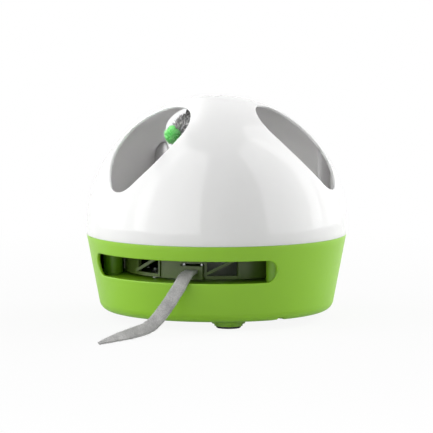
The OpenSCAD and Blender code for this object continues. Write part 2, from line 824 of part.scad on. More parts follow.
module idler_pins() color("silver") {
    for (bearing = [idler_one_bearing, idler_two_bearing])
        at_bearing(bearing, gear_centre)
            translate([0, 0, chassis_z]) cylinder(d = pin_d, h = cover_ceiling - chassis_z);
}

module motor_can() color("lightgray") {
    at_motor()
        difference() {
            union() {
                translate([0, 0, motor_low + motor_cap_h])
                    intersection() {
                        cylinder(d = motor_l, h = motor_h);
                        translate([-motor_l, -motor_w / 2, 0]) cube([2 * motor_l, motor_w, motor_h]);
                    }
                translate([0, 0, motor_top - cut]) cylinder(d = motor_nose_d, h = motor_nose_h + cut);
            }
            translate([0, 0, motor_low]) cylinder(d = shaft_d + 2 * run_gap, h = seam_z);
        }
}

module motor_end_cap() color("white") {
    at_motor()
        translate([0, 0, motor_low])
            difference() {
                intersection() {
                    cylinder(d = motor_l, h = motor_cap_h);
                    translate([-motor_l, -motor_w / 2, 0]) cube([2 * motor_l, motor_w, motor_h]);
                }
                translate([0, 0, motor_cap_h / 2]) cylinder(d = shaft_d + 2 * run_gap, h = motor_cap_h);
            }
}

module motor_clamp() color("olivedrab") {
    length = motor_l + 2 * (pocket_gap + pocket_wall + clamp_screw_reach);
    seat_z = motor_low + motor_cap_h;
    at_motor()
        difference() {
            translate([-length / 2, -motor_w / 2, motor_low - clamp_t])
                cube([length, motor_w, clamp_t + motor_cap_h]);
            translate([-motor_l / 2 - pocket_gap, -motor_w, motor_low])
                cube([motor_l + 2 * pocket_gap, 2 * motor_w, motor_cap_h + cut]);
            for (side = [-1, 1])
                translate([side * motor_screw_x, 0, seat_z - small_grip])
                    cylinder(d = small_screw_d + 4 * fit_gap, h = 2 * small_grip);
        }
}

module motor_clamp_screws() color("silver") {
    length = clamp_t + motor_cap_h + small_grip - small_end_room;
    at_motor()
        for (side = [-1, 1])
            translate([side * motor_screw_x, 0, motor_low - clamp_t])
                screw(small_screw_d, length, motor_head_d, small_head_h);
}

module motor_shaft() color("silver") {
    at_motor()
        translate([0, 0, motor_low + motor_cap_h / 2 + joint_gap])
            cylinder(d = shaft_d, h = gear_level(0) + gear_w - motor_low - motor_cap_h / 2);
}

module motor_pinion() color("goldenrod") {
    at_motor()
        difference() {
            gear(pinion_teeth, gear_level(0), 0);
            cylinder(d = shaft_d + 2 * fit_gap, h = seam_z);
        }
}

// A wheel with a smaller pinion on top, which turn freely on a pin
module idler_gear(bearing, level, wheel_facing, pinion_facing) {
    neck_r = gear_module * pinion_teeth / 2 - root_depth - 2 * run_gap;
    at_bearing(bearing, gear_centre)
        rotate([0, 0, -bearing])
            difference() {
                union() {
                    gear(wheel_teeth, gear_level(level), wheel_facing, true);
                    translate([0, 0, gear_level(level) + gear_w / 2]) cylinder(r = neck_r, h = gear_w);
                    gear(pinion_teeth, gear_level(level + 1), pinion_facing);
                }
                cylinder(d = pin_d + 2 * run_gap, h = seam_z);
            }
}

// Plan direction, in degrees from +X, of the line from one bearing to another on the gears' circle
function gears_way(from, to) = (from + to) / 2 + (to > from ? 0 : 180);

// The first wheel faces the motor, and its pinion faces the second idler
module idler_gear_one() color("ivory")
    idler_gear(idler_one_bearing, 0, gears_way(idler_one_bearing, motor_bearing),
        gears_way(idler_one_bearing, idler_two_bearing));

// The second wheel faces the first idler, and its pinion faces the spindle
module idler_gear_two() color("ivory")
    idler_gear(idler_two_bearing, 1, gears_way(idler_two_bearing, idler_one_bearing), idler_two_bearing + 90);

module output_gear() color("ivory") {
    hub_d = spindle_d + 4;
    difference() {
        union() {
            gear(wheel_teeth, gear_level(2), 0, true);
            translate([0, 0, gear_level(2)]) cylinder(d = hub_d, h = gear_w + cover_room - joint_gap);
        }
        cylinder(d = spindle_d + 2 * fit_gap, h = seam_z);
    }
}

module spindle() color("silver") {
    translate([0, 0, spindle_low]) cylinder(d = spindle_d, h = spindle_high - spindle_low);
}

module spindle_clip() color("dimgray") {
    translate([0, 0, chassis_z - hub_boss_h - joint_gap - clip_t])
        tube(clip_d, spindle_d + 2 * fit_gap, clip_t);
}

// Tail drum and tail

module drum_wall_ring(z_low, z_high) {
    sector(-180, 180, drum_r - drum_wall, drum_r, z_low, z_high);
}

// A slanting bar across one window of the drum
module drum_brace(bearing) {
    mid_z = (drum_window_low + drum_window_high) / 2;
    window_w = drum_r * drum_window_span * PI / 180;
    length = window_w / cos(brace_slope) + 2 * drum_wall;
    at_bearing(bearing, drum_r - drum_wall + brace_inset)
        translate([0, 0, mid_z])
            rotate([0, -brace_slope, 0])
                translate([-length / 2, -brace_depth, -brace_t / 2]) cube([length, brace_depth, brace_t]);
}

module drum_window(bearing) {
    half = drum_window_span / 2;
    in_r = drum_r - 2 * drum_wall;
    sector(bearing - half, bearing + half, in_r, drum_r + cut, drum_window_low, drum_window_high);
}

module tail_drum() color("olivedrab") {
    window_turns = [for (k = [0 : drum_window_count - 1]) drum_window_first + k * 360 / drum_window_count];
    jaw_l = jaw_out_r - jaw_in_r;
    jaw_room = tail_clamp_z - jaw_top + tail_clamp_t + clamp_head_h + joint_gap;
    difference() {
        union() {
            difference() {
                translate([0, 0, drum_low]) cylinder(r = drum_r, h = drum_high - drum_low);
                translate([0, 0, drum_low - cut])
                    cylinder(r = drum_r - drum_wall, h = drum_high - drum_plate_t - drum_low + cut);
                for (turn = window_turns) drum_window(turn);
            }
            for (turn = window_turns) drum_brace(turn);
            for (turn = window_turns, offset = rib_offsets)
                if (abs(turn + offset - tail_bearing) > rib_clear)
                    at_bearing(turn + offset, drum_r)
                        translate([-rib_t / 2, -rib_depth, drum_low + rib_inset])
                            cube([rib_t, rib_depth + drum_wall / 2, drum_high - drum_low - 2 * rib_inset]);
            translate([0, 0, drum_hub_low]) cylinder(d = drum_hub_d, h = drum_high - drum_hub_low);
            at_bearing(tail_bearing, jaw_out_r)
                translate([-jaw_w / 2, 0, drum_low])
                    cube([jaw_w, jaw_l, jaw_top - drum_low]);
        }
        at_bearing(tail_bearing, jaw_out_r + cut)
            translate([-jaw_w / 2 - joint_gap, 0, jaw_top])
                cube([jaw_w + 2 * joint_gap, jaw_l + 2 * cut, jaw_room]);
        translate([0, 0, base_z]) cylinder(d = spindle_d + 2 * fit_gap, h = seam_z);
        at_bearing(tail_bearing, clamp_screw_r)
            for (side = [-1, 1])
                translate([side * clamp_screw_x, 0, jaw_top - clamp_screw_grip - cut])
                    cylinder(d = clamp_screw_d + 2 * fit_gap, h = clamp_screw_grip + 2 * cut);
    }
}

module tail_clamp() color("lightgray") {
    at_bearing(tail_bearing)
        difference() {
            translate([-jaw_w / 2, -jaw_out_r, jaw_top])
                cube([jaw_w, jaw_out_r - jaw_in_r, tail_clamp_z + tail_clamp_t - jaw_top]);
            translate([-tail_w / 2 - tail_fit, -jaw_out_r - cut, jaw_top - cut])
                cube([tail_w + 2 * tail_fit, jaw_out_r - jaw_in_r + 2 * cut, tail_clamp_z - jaw_top + cut]);
            for (side = [-1, 1])
                translate([side * clamp_screw_x, -clamp_screw_r, base_z])
                    cylinder(d = clamp_screw_d + 4 * fit_gap, h = seam_z);
        }
}

module tail_clamp_screws() color("silver") {
    length = tail_clamp_z + tail_clamp_t - jaw_top + clamp_screw_grip;
    at_bearing(tail_bearing, clamp_screw_r)
        for (side = [-1, 1])
            translate([side * clamp_screw_x, 0, tail_clamp_z + tail_clamp_t])
                mirror([0, 0, 1]) screw(clamp_screw_d, length, clamp_head_d, clamp_head_h);
}

module tail() color("gray") {
    corner = 0.62;
    edge = 0.85;
    section = [
        [1, -corner], [1, corner], [edge, 1], [-edge, 1],
        [-1, corner], [-1, -corner], [-edge, -1], [edge, -1]
    ];
    rings = [
        for (k = [0 : len(tail_route) - 1])
            let (
                way = path_way(tail_route, k),
                side = unit(tail_aim[k] - (tail_aim[k] * way) * way),
                up = cross(side, way),
                half_w = tail_w / 2 * tail_taper[k],
                half_t = tail_t / 2 * sqrt(tail_taper[k])
            )
            [for (p = section)
                tail_route[k] + p[0] * half_w * side + p[1] * half_t * up]
    ];
    swept(tail_route, len(section), rings);
}

// Mouse

// The mouse's own frame: +X towards the nose, at the height of the middle of its body
module at_mouse() {
    translate([0, 0, mouse_z]) rotate([0, 0, mouse_bearing - 90]) children();
}

module body_form(grow = 0) {
    translate([-body_back, 0, 0]) rotate([0, 90, 0]) plush(body_l, body_r, body_egg, grow);
}

module head_form(grow = 0) {
    translate([neck_x, 0, neck_rise]) rotate([0, 90 + head_pitch, 0]) plush(head_l, head_r, head_egg, grow);
}

// Moves to a place on one side of the head
module on_head(place, side) {
    translate([neck_x + head_l * place[0], side * head_r * place[1], neck_rise + head_r * place[2]])
        children();
}

module mouse_stem() color("olivedrab") {
    translate([0, 0, drum_high])
        difference() {
            union() {
                cylinder(d = stem_foot_d, h = stem_foot_h);
                cylinder(d = stem_d, h = stem_top - drum_high);
                translate([0, 0, stem_top - drum_high - stem_flange_t])
                    cylinder(d = stem_flange_d, h = stem_flange_t);
                translate([0, 0, stem_top - drum_high - cut])
                    cylinder(d = stem_peg_d, h = stem_peg_l + cut);
            }
            translate([0, 0, -cut])
                cylinder(d = spindle_d + 2 * fit_gap, h = spindle_high - drum_high + 2 * cut);
        }
}

module mouse_body() color("darkgray") {
    difference() {
        at_mouse() body_form();
        cylinder(d = stem_peg_d + 2 * plush_gap, h = stem_top + stem_peg_l + plush_gap);
        cylinder(d = stem_flange_d + 2 * plush_gap, h = stem_top + plush_gap);
    }
}

module mouse_head() color("darkgray") {
    at_mouse()
        difference() {
            head_form();
            body_form(plush_gap);
        }
}

module mouse_ear(side) color("dimgray") {
    at_mouse()
        difference() {
            on_head(ear_place, side)
                rotate([side * ear_lean[0], ear_lean[1], side * ear_lean[2]])
                    translate([-ear_t / 2, 0, ear_r * ear_sink])
                        rotate([0, 90, 0]) cylinder(r = ear_r, h = ear_t);
            head_form(plush_gap);
            body_form(plush_gap);
        }
}

module mouse_ear_left() mouse_ear(1);
module mouse_ear_right() mouse_ear(-1);

module nose_pompom() color("limegreen") {
    at_mouse()
        difference() {
            translate([neck_x, 0, neck_rise])
                rotate([0, 90 + head_pitch, 0]) translate([0, 0, head_l + nose_out]) sphere(d = pompom_d);
            head_form(plush_gap);
        }
}

module mouse_eyes() color("black") {
    at_mouse()
        difference() {
            for (side = [-1, 1])
                on_head(eye_place, side) sphere(r = eye_r);
            head_form(plush_gap);
        }
}

// Batteries, board and switch

function cell_x(k) = (k - (cell_count - 1) / 2) * cell_pitch;
function cell_way(k) = k % 2 == 0 ? 1 : -1;

// Moves to one cell, with its nub towards +Z and its middle at z = 0
module at_cell(k) {
    translate([cell_x(k), bay_low_y + bay_l / 2, cell_z]) rotate([cell_way(k) * -90, 0, 0]) children();
}

module battery_cell(k) color("darkgoldenrod") {
    at_cell(k) {
        translate([0, 0, -cell_l / 2]) cylinder(d = cell_d, h = cell_l - nub_l);
        translate([0, 0, cell_l / 2 - nub_l - cut]) cylinder(d = nub_d, h = nub_l + cut);
    }
}

module battery_cell_1() battery_cell(0);
module battery_cell_2() battery_cell(1);
module battery_cell_3() battery_cell(2);

module contact_plates() color("silver") {
    for (k = [0 : cell_count - 1], end = [-1, 1])
        at_cell(k)
            translate([-contact_w / 2, -contact_w / 2, end * (bay_l / 2 - contact_t / 2) - contact_t / 2])
                cube([contact_w, contact_w, contact_t]);
}

module contact_springs() color("gainsboro") {
    for (k = [0 : cell_count - 1])
        at_cell(k) {
            translate([0, 0, -bay_l / 2 + contact_t])
                cylinder(d1 = contact_w - 1, d2 = nub_d, h = contact_reach + joint_gap / 2);
            translate([0, 0, bay_l / 2 - contact_t - contact_reach])
                cylinder(d1 = nub_d, d2 = contact_w - 1, h = contact_reach);
        }
}

module battery_door() color("yellowgreen") {
    grip_y = door_low_y + door_l;
    difference() {
        union() {
            translate([-door_w / 2, door_axis_y, base_z]) cube([door_w, door_l - door_t / 2, door_t]);
            translate([-door_w / 2, door_axis_y, door_axis_z])
                rotate([0, 90, 0]) cylinder(d = door_t, h = door_w);
            translate([-door_w / 2 - door_gap - door_pin_l, door_axis_y, door_axis_z])
                rotate([0, 90, 0]) cylinder(d = door_pin_d, h = door_w + 2 * (door_gap + door_pin_l));
        }
        for (k = [0 : grip_count - 1])
            translate([-grip_w / 2, grip_y - grip_in - grip_pitch * k, base_z - cut])
                cube([grip_w, grip_slot, grip_depth + cut]);
    }
}

module circuit_board() color("darkgreen") {
    translate([0, board_y, floor_z + board_lift])
        difference() {
            translate([-board_w / 2, -board_d / 2, 0]) cube([board_w, board_d, board_t]);
            for (side = [-1, 1])
                translate([side * board_screw_x, 0, -cut])
                    cylinder(d = small_screw_d + 4 * fit_gap, h = board_t + 2 * cut);
        }
}

module controller_chip() color("black") {
    translate([-chip_w / 2, board_y + chip_shift, floor_z + board_lift + board_t])
        cube([chip_w, chip_d, chip_t]);
}

module capacitor() color("slateblue") {
    translate([capacitor_x, board_y + capacitor_shift, floor_z + board_lift + board_t])
        cylinder(d = capacitor_d, h = capacitor_h);
}

module board_screws() color("silver") {
    for (side = [-1, 1])
        translate([side * board_screw_x, board_y, floor_z + board_lift + board_t])
            mirror([0, 0, 1])
                screw(small_screw_d, board_t + board_lift - board_screw_room, small_head_d, small_head_h);
}

module switch_body() color("dimgray") {
    room_w = switch_travel + knob_w + 2 * joint_gap;
    room_d = knob_d + 2 * joint_gap;
    translate([switch_x, switch_y, floor_z])
        difference() {
            translate([-switch_w / 2, -switch_d / 2, 0]) cube([switch_w, switch_d, switch_h]);
            translate([-room_w / 2, -room_d / 2, -cut]) cube([room_w, room_d, knob_rise + joint_gap + cut]);
        }
}

module switch_knob() color("black") {
    off_x = switch_x - switch_travel / 2;
    pad_z = base_z - joint_gap - knob_pad_h;
    translate([off_x - knob_w / 2, switch_y - knob_d / 2, pad_z])
        cube([knob_w, knob_d, floor_z + knob_rise - pad_z]);
    translate([off_x - knob_pad_w / 2, switch_y - knob_pad_d / 2, pad_z])
        cube([knob_pad_w, knob_pad_d, knob_pad_h]);
}

module red_lead() color("red") lead(red_lead_route);
module black_lead() color("black") lead(black_lead_route);

dome_shell();
base_tub();
paw_deck();
chassis_plate();
gearbox_cover();
casing_screws();
dome_screws();
chassis_screws();
cover_screws();
lower_bush();
upper_bush();
idler_pins();
motor_can();
motor_end_cap();
motor_clamp();
motor_clamp_screws();
battery_cell_1();
battery_cell_2();
battery_cell_3();
contact_plates();
contact_springs();
circuit_board();
controller_chip();
capacitor();
board_screws();
switch_body();
red_lead();
black_lead();
rubber_foot(0);  // rubber_foot_1
rubber_foot(1);  // rubber_foot_2
rubber_foot(2);  // rubber_foot_3
tail_drum();
spindle();
spindle_clip();
output_gear();
tail_clamp();
tail_clamp_screws();
tail();
mouse_stem();
mouse_body();
mouse_head();
mouse_ear_left();
mouse_ear_right();
nose_pompom();
mouse_eyes();
idler_gear_two();
idler_gear_one();
motor_shaft();
motor_pinion();
battery_door();
switch_knob();
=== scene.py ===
# %% [markdown]
# # A hiding mouse cat toy
# A white dome with three paw windows stands on a lime green base. Inside, a stuffed mouse and a felt tail turn
# together on one spindle. The CAD model already holds every place, size and joint, so this lesson only dresses it:
# rounded mouldings instead of sharp ones, felt, fur and yarn instead of plain solids, and a finish for each piece.

# %% Load the frame
import json
import math

import bmesh
import bpy
import numpy as np
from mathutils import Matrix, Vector


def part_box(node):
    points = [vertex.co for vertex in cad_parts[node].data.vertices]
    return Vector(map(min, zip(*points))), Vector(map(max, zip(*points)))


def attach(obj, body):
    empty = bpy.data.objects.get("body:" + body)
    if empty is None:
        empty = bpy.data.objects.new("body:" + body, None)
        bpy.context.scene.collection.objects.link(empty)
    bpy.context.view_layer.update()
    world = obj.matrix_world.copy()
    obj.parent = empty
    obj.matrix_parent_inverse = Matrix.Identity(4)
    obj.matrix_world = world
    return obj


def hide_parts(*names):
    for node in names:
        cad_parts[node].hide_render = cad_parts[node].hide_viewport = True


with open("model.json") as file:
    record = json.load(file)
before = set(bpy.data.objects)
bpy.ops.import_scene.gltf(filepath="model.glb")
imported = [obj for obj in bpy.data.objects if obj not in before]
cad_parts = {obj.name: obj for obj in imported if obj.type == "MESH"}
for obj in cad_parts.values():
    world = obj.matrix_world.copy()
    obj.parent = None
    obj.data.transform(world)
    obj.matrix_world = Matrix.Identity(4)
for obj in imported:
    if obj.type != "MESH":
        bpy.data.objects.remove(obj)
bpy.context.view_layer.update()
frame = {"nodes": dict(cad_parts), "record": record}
scene = bpy.context.scene
MM = 0.001

# %% [markdown]
# ## Helpers
# Most pieces here are grids of points: rows that are joined by four-sided faces. A small collector keeps the points
# and faces of one piece, and one function turns them into an object that rides on a CAD body. Welding the points
# that fall together is what closes a piece made of several grids.

# %% Collect a skin of points and faces
WELD = 0.002 * MM


def put(name, data):
    """Adds an object to the scene."""
    thing = bpy.data.objects.new(name, data)
    scene.collection.objects.link(thing)
    return thing


def round_turns(count):
    """Angles in equal steps all the way round."""
    return 2 * math.pi * np.arange(count) / count


class Skin:
    """Points and faces of one piece, with a finish number for each face."""

    def __init__(self):
        self.points = []
        self.faces = []
        self.finish = []

    def add_faces(self, points, faces, finish=0):
        first = len(self.points)
        self.points.extend(np.asarray(points, float).reshape(-1, 3).tolist())
        self.faces.extend([[first + i for i in face] for face in faces])
        self.finish.extend([finish] * len(faces))

    def add_rows(self, rows, closed=False, finish=0):
        """Joins equally long rows of points. A closed grid also joins each row's end to its start."""
        rows = np.asarray(rows, float)
        count, wide = rows.shape[:2]
        steps = wide if closed else wide - 1
        faces = [
            (r * wide + c, r * wide + (c + 1) % wide, (r + 1) * wide + (c + 1) % wide, (r + 1) * wide + c)
            for r in range(count - 1)
            for c in range(steps)
        ]
        self.add_faces(rows, faces, finish)

    def add_fan(self, middle, ring, finish=0):
        """Closes a ring of points with triangles to one middle point."""
        wide = len(ring)
        faces = [(0, 1 + k, 1 + (k + 1) % wide) for k in range(wide)]
        self.add_faces([middle, *ring], faces, finish)


def make_piece(name, skin, body, finishes, stands_for=()):
    """Welds a skin into an object with smooth shading, and lets it ride on a CAD body."""
    mesh = bpy.data.meshes.new(name)
    mesh.from_pydata(skin.points, [], skin.faces)
    mesh.polygons.foreach_set("material_index", skin.finish)
    for finish in finishes:
        mesh.materials.append(finish)
    work = bmesh.new()
    work.from_mesh(mesh)
    bmesh.ops.remove_doubles(work, verts=work.verts, dist=WELD)
    bmesh.ops.recalc_face_normals(work, faces=work.faces)
    work.to_mesh(mesh)
    work.free()
    mesh.shade_smooth()
    made = put(name, mesh)
    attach(made, body)
    if stands_for:
        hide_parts(*stands_for)
    print(name, "has", len(mesh.vertices), "points and", len(mesh.polygons), "faces")
    return made


# %% [markdown]
# ## The camera
# The picture was taken with a long lens from a little left of the front and a little above the seam. A long lens far
# away keeps the dome round. In this frame an azimuth of 0 looks along +Y, and a negative one stands further left.

# %% Place the camera
VIEW_AZIMUTH = -8
VIEW_ELEVATION = 5.8
VIEW_DISTANCE = 2.6
VIEW_LEVEL = 73.9 * MM
LENS = 294.7


def toward(azimuth, elevation):
    """The direction from the toy to something at this azimuth and elevation, in degrees."""
    a, e = math.radians(azimuth), math.radians(elevation)
    return Vector((math.sin(a) * math.cos(e), -math.cos(a) * math.cos(e), math.sin(e)))


def aim(thing, way):
    """Turns a camera or a lamp to look along a direction."""
    thing.rotation_mode = "QUATERNION"
    thing.rotation_quaternion = way.to_track_quat("-Z", "Y")


camera = put("camera", bpy.data.cameras.new("camera"))
camera.data.lens = LENS
camera_way = toward(VIEW_AZIMUTH, VIEW_ELEVATION)
camera.location = Vector((0, 0, VIEW_LEVEL)) + camera_way * VIEW_DISTANCE
aim(camera, -camera_way)
scene.camera = camera
print("camera stands", VIEW_DISTANCE, "m away with a lens of", LENS, "mm")

# %% [markdown]
# ## Colour and nodes
# Colours are written as the sRGB hex values a picture editor shows, and Blender wants linear light, so one function
# converts them. One more function adds a shader node, sets its values and links its inputs.

# %% Colour and node helpers
def tint(code):
    """Linear colour of an sRGB hex code."""
    parts = [int(code[k : k + 2], 16) / 255 for k in (1, 3, 5)]
    return tuple(p / 12.92 if p <= 0.04045 else ((p + 0.055) / 1.055) ** 2.4 for p in parts) + (1.0,)


def add(tree, kind, inputs=(), **settings):
    """Adds a node with its settings. An input that is a socket is linked, and any other is a fixed value."""
    node = tree.nodes.new(kind)
    for key, value in settings.items():
        setattr(node, key, value)
    for key, value in dict(inputs).items():
        if isinstance(value, bpy.types.NodeSocket):
            tree.links.new(value, node.inputs[key])
        else:
            node.inputs[key].default_value = value
    return node


def start_material(name):
    """An empty node material and the object's own coordinates in metres."""
    material = bpy.data.materials.new(name)
    material.use_nodes = True
    tree = material.node_tree
    tree.nodes.clear()
    place = add(tree, "ShaderNodeTexCoord").outputs["Object"]
    return material, tree, place


def end_material(tree, shader):
    add(tree, "ShaderNodeOutputMaterial", {"Surface": shader.outputs[0]})


# %% [markdown]
# ## Moulded plastics
# ABS comes out of a steel mould: the dome's tool is polished, so its surface is a mirror with a faint ripple, the
# base's tool is stoned to a semi-gloss, which blurs its reflections, and the inner pieces' tools are left satin. Two
# noises give that: a slow one for the flow of the melt, which shifts the colour a touch, and a fine one for the
# ripple or the satin grain, which feeds roughness and bump. A typical refractive index of ABS is 1.54, of acetal 1.48
# and of nylon 1.53.

# %% Finishes moulded in plastic
FLOW_SIZE = 38 * MM
# How far light goes into a white wall before it comes out again
GLOW_DEPTH = 2 * MM
# Roughness at the grain's shiniest and dullest places, as shares of the finish's own
GRAIN_SHINE, GRAIN_DULL = 0.85, 1.2


def moulded(name, colour, shade, roughness, ior, grain, depth, through=0.0):
    """A moulded plastic: grain is the width of its ripple or satin, depth is the bump's height and through is the
    share of light that goes into the wall and out again."""
    material, tree, place = start_material(name)
    flow = add(tree, "ShaderNodeTexNoise", {"Vector": place, "Scale": 1 / FLOW_SIZE, "Detail": 3.0})
    fine = add(tree, "ShaderNodeTexNoise", {"Vector": place, "Scale": 1 / grain, "Detail": 2.0})
    colours = add(tree, "ShaderNodeMix", {"Factor": flow.outputs["Fac"], "A": tint(colour), "B": tint(shade)},
                  data_type="RGBA")
    gloss = add(tree, "ShaderNodeMapRange",
                {"Value": fine.outputs["Fac"], "To Min": roughness * GRAIN_SHINE, "To Max": roughness * GRAIN_DULL})
    bump = add(tree, "ShaderNodeBump", {"Height": fine.outputs["Fac"], "Distance": depth, "Strength": 1.0})
    shader = add(tree, "ShaderNodeBsdfPrincipled", {
        "Base Color": colours.outputs["Result"], "Roughness": gloss.outputs["Result"],
        "Normal": bump.outputs["Normal"], "IOR": ior, "Subsurface Weight": through,
        "Subsurface Radius": (1.0, 1.0, 1.0), "Subsurface Scale": GLOW_DEPTH})
    end_material(tree, shader)
    return material


# Each plastic: colour and a shade of it, roughness, IOR, width and height of its grain, and light through it.
# The ripple of a polished mould is about 4 mm wide and too shallow to see except in a reflection's edge.
white_abs = moulded("white_abs_polished", "#F6F6F5", "#F2F2F2", 0.07, 1.54, 4 * MM, 0.0006 * MM, 1.0)
white_abs_inside = moulded("white_abs_satin_inside", "#F7F5F6", "#F3F1F2", 0.38, 1.54, 0.5 * MM, 0.004 * MM, 1.0)
lime_abs = moulded("lime_abs_semi_gloss", "#94CD22", "#8EC520", 0.36, 1.54, 3 * MM, 0.001 * MM)
olive_abs = moulded("olive_abs_satin", "#536629", "#4A5C24", 0.35, 1.54, 0.5 * MM, 0.004 * MM)
grey_abs = moulded("grey_abs_satin", "#C6C8C7", "#BEC0BF", 0.35, 1.54, 0.5 * MM, 0.004 * MM)
black_nylon = moulded("black_nylon_moulded", "#1B1B1C", "#141415", 0.42, 1.53, 0.4 * MM, 0.004 * MM)
acetal = moulded("acetal_moulded", "#E9E6DC", "#E0DDD2", 0.3, 1.48, 0.5 * MM, 0.002 * MM)
red_pvc = moulded("red_pvc_insulation", "#B3211C", "#A11B18", 0.3, 1.53, 0.6 * MM, 0.002 * MM)
black_pvc = moulded("black_pvc_insulation", "#171718", "#101011", 0.3, 1.53, 0.6 * MM, 0.002 * MM)
eye_acrylic = moulded("eye_acrylic_polished", "#0B0B0C", "#060607", 0.06, 1.49, 2 * MM, 0.0004 * MM)
cell_film = moulded("cell_film_printed", "#2B2E33", "#25282C", 0.25, 1.57, 0.8 * MM, 0.001 * MM)
capacitor_film = moulded("capacitor_film_shrunk", "#22274A", "#1C2040", 0.25, 1.57, 0.8 * MM, 0.002 * MM)
# Rubber is moulded too, but in a blasted tool: it scatters nearly all its gloss.
grey_rubber = moulded("grey_rubber_blasted", "#3C3D3B", "#343534", 0.7, 1.52, 0.35 * MM, 0.012 * MM)
print("plastics made, materials so far:", len(bpy.data.materials))

# %% [markdown]
# ## Metals and the board
# Screws and the spindle are steel with bright zinc, which has a fine cloudy crystal pattern. The motor's can is
# nickel plated, and the bushes are sintered bronze: pressed powder, full of tiny pores. A metal keeps the default
# IOR, so only colour, roughness and bump matter. The board is glass laminate under green solder resist with copper
# tracks.

# %% Finishes of metal and laminate
# Roughness at the pattern's shiniest and dullest places, as shares of the finish's own
CLOUD_SHINE, CLOUD_DULL = 0.8, 1.4
TRACK_WIDE = 0.8 * MM
TRACK_LONG = 5.2 * MM
TRACK_PITCH = 2.4 * MM
TRACK_STEP = 0.03 * MM


def plated(name, colour, shade, roughness, crystal, depth):
    """A plated or sintered metal: crystal is the width of its cloudy pattern or of its pores."""
    material, tree, place = start_material(name)
    cloud = add(tree, "ShaderNodeTexVoronoi", {"Vector": place, "Scale": 1 / crystal})
    colours = add(tree, "ShaderNodeMix", {"Factor": cloud.outputs["Distance"], "A": tint(colour), "B": tint(shade)},
                  data_type="RGBA")
    gloss = add(tree, "ShaderNodeMapRange", {
        "Value": cloud.outputs["Distance"], "To Min": roughness * CLOUD_SHINE, "To Max": roughness * CLOUD_DULL})
    bump = add(tree, "ShaderNodeBump", {"Height": cloud.outputs["Distance"], "Distance": depth, "Strength": 1.0})
    shader = add(tree, "ShaderNodeBsdfPrincipled", {
        "Base Color": colours.outputs["Result"], "Roughness": gloss.outputs["Result"],
        "Normal": bump.outputs["Normal"], "Metallic": 1.0})
    end_material(tree, shader)
    return material


def resist_board(name):
    """Green solder resist with copper tracks, drawn as a brick pattern's joints."""
    material, tree, place = start_material(name)
    tracks = add(tree, "ShaderNodeTexBrick", {
        "Vector": place, "Color1": tint("#12512A"), "Color2": tint("#0F4724"), "Mortar": tint("#2C7A45"),
        "Scale": 1.0, "Mortar Size": TRACK_WIDE / 2, "Brick Width": TRACK_LONG, "Row Height": TRACK_PITCH})
    bump = add(tree, "ShaderNodeBump", {"Height": tracks.outputs["Fac"], "Distance": TRACK_STEP, "Strength": 1.0})
    shader = add(tree, "ShaderNodeBsdfPrincipled", {
        "Base Color": tracks.outputs["Color"], "Roughness": 0.3, "IOR": 1.55, "Normal": bump.outputs["Normal"]})
    end_material(tree, shader)
    return material


zinc_steel = plated("zinc_plated_steel", "#C4C6C8", "#AEB1B5", 0.28, 0.7 * MM, 0.002 * MM)
nickel_steel = plated("nickel_plated_steel", "#CFCBC2", "#C2BDB2", 0.16, 1.5 * MM, 0.001 * MM)
sintered_bronze = plated("bronze_sintered", "#B08A4C", "#8F6D38", 0.42, 0.25 * MM, 0.01 * MM)
board_resist = resist_board("board_laminate_resist")
print("metals and board made, materials so far:", len(bpy.data.materials))

# %% [markdown]
# ## Felt, plush and yarn
# Felt is a mat of tangled wool, plush is a cut pile on a knitted back and a pompom is yarn cut all round. None has a
# gloss: each is a rough surface with a soft sheen from the loose fibres. The colour changes from fibre to fibre, so a
# noise about as wide as a bundle of fibres (drawn 0.8 mm wide, as single fibres of 0.03 mm would not show) mixes a
# light and a dark tone.

# %% Finishes of fibre
FIBRE_BUNDLE = 0.8 * MM
FIBRE_BUMP = 0.12 * MM
# The two noises' sum at which a fibre is quite dark and quite light
TONE_DARK, TONE_LIGHT = 0.65, 1.35


def fibrous(name, light, dark, sheen, patch):
    """A cloth of loose fibres: patch is the width of its slow change of tone."""
    material, tree, place = start_material(name)
    bundle = add(tree, "ShaderNodeTexNoise",
                 {"Vector": place, "Scale": 1 / FIBRE_BUNDLE, "Detail": 4.0, "Roughness": 0.7})
    slow = add(tree, "ShaderNodeTexNoise", {"Vector": place, "Scale": 1 / patch, "Detail": 2.0})
    both = add(tree, "ShaderNodeMath", {0: bundle.outputs["Fac"], 1: slow.outputs["Fac"]}, operation="ADD")
    spread = add(tree, "ShaderNodeMapRange",
                 {"Value": both.outputs[0], "From Min": TONE_DARK, "From Max": TONE_LIGHT})
    colours = add(tree, "ShaderNodeMix", {"Factor": spread.outputs["Result"], "A": tint(dark), "B": tint(light)},
                  data_type="RGBA")
    bump = add(tree, "ShaderNodeBump", {"Height": bundle.outputs["Fac"], "Distance": FIBRE_BUMP, "Strength": 1.0})
    shader = add(tree, "ShaderNodeBsdfPrincipled", {
        "Base Color": colours.outputs["Result"], "Roughness": 0.9, "IOR": 1.54, "Sheen Weight": sheen,
        "Sheen Roughness": 0.4, "Normal": bump.outputs["Normal"]})
    end_material(tree, shader)
    return material


tail_felt = fibrous("grey_wool_felt", "#D8D7D6", "#888787", 0.25, 9 * MM)
mouse_pile = fibrous("light_grey_plush_pile", "#D6D5D5", "#B6B5B5", 0.3, 6 * MM)
mouse_pile_dark = fibrous("dark_grey_plush_pile", "#9C9B9B", "#818080", 0.3, 6 * MM)
ear_felt = fibrous("dark_grey_felt", "#5D5C5B", "#444443", 0.2, 5 * MM)
pompom_yarn = fibrous("light_green_acrylic_yarn", "#BEFFB8", "#9CFC9A", 0.4, 4 * MM)
pompom_yarn_dark = fibrous("green_acrylic_yarn", "#8CF08A", "#6CDF70", 0.4, 4 * MM)
print("fibre finishes made, materials so far:", len(bpy.data.materials))

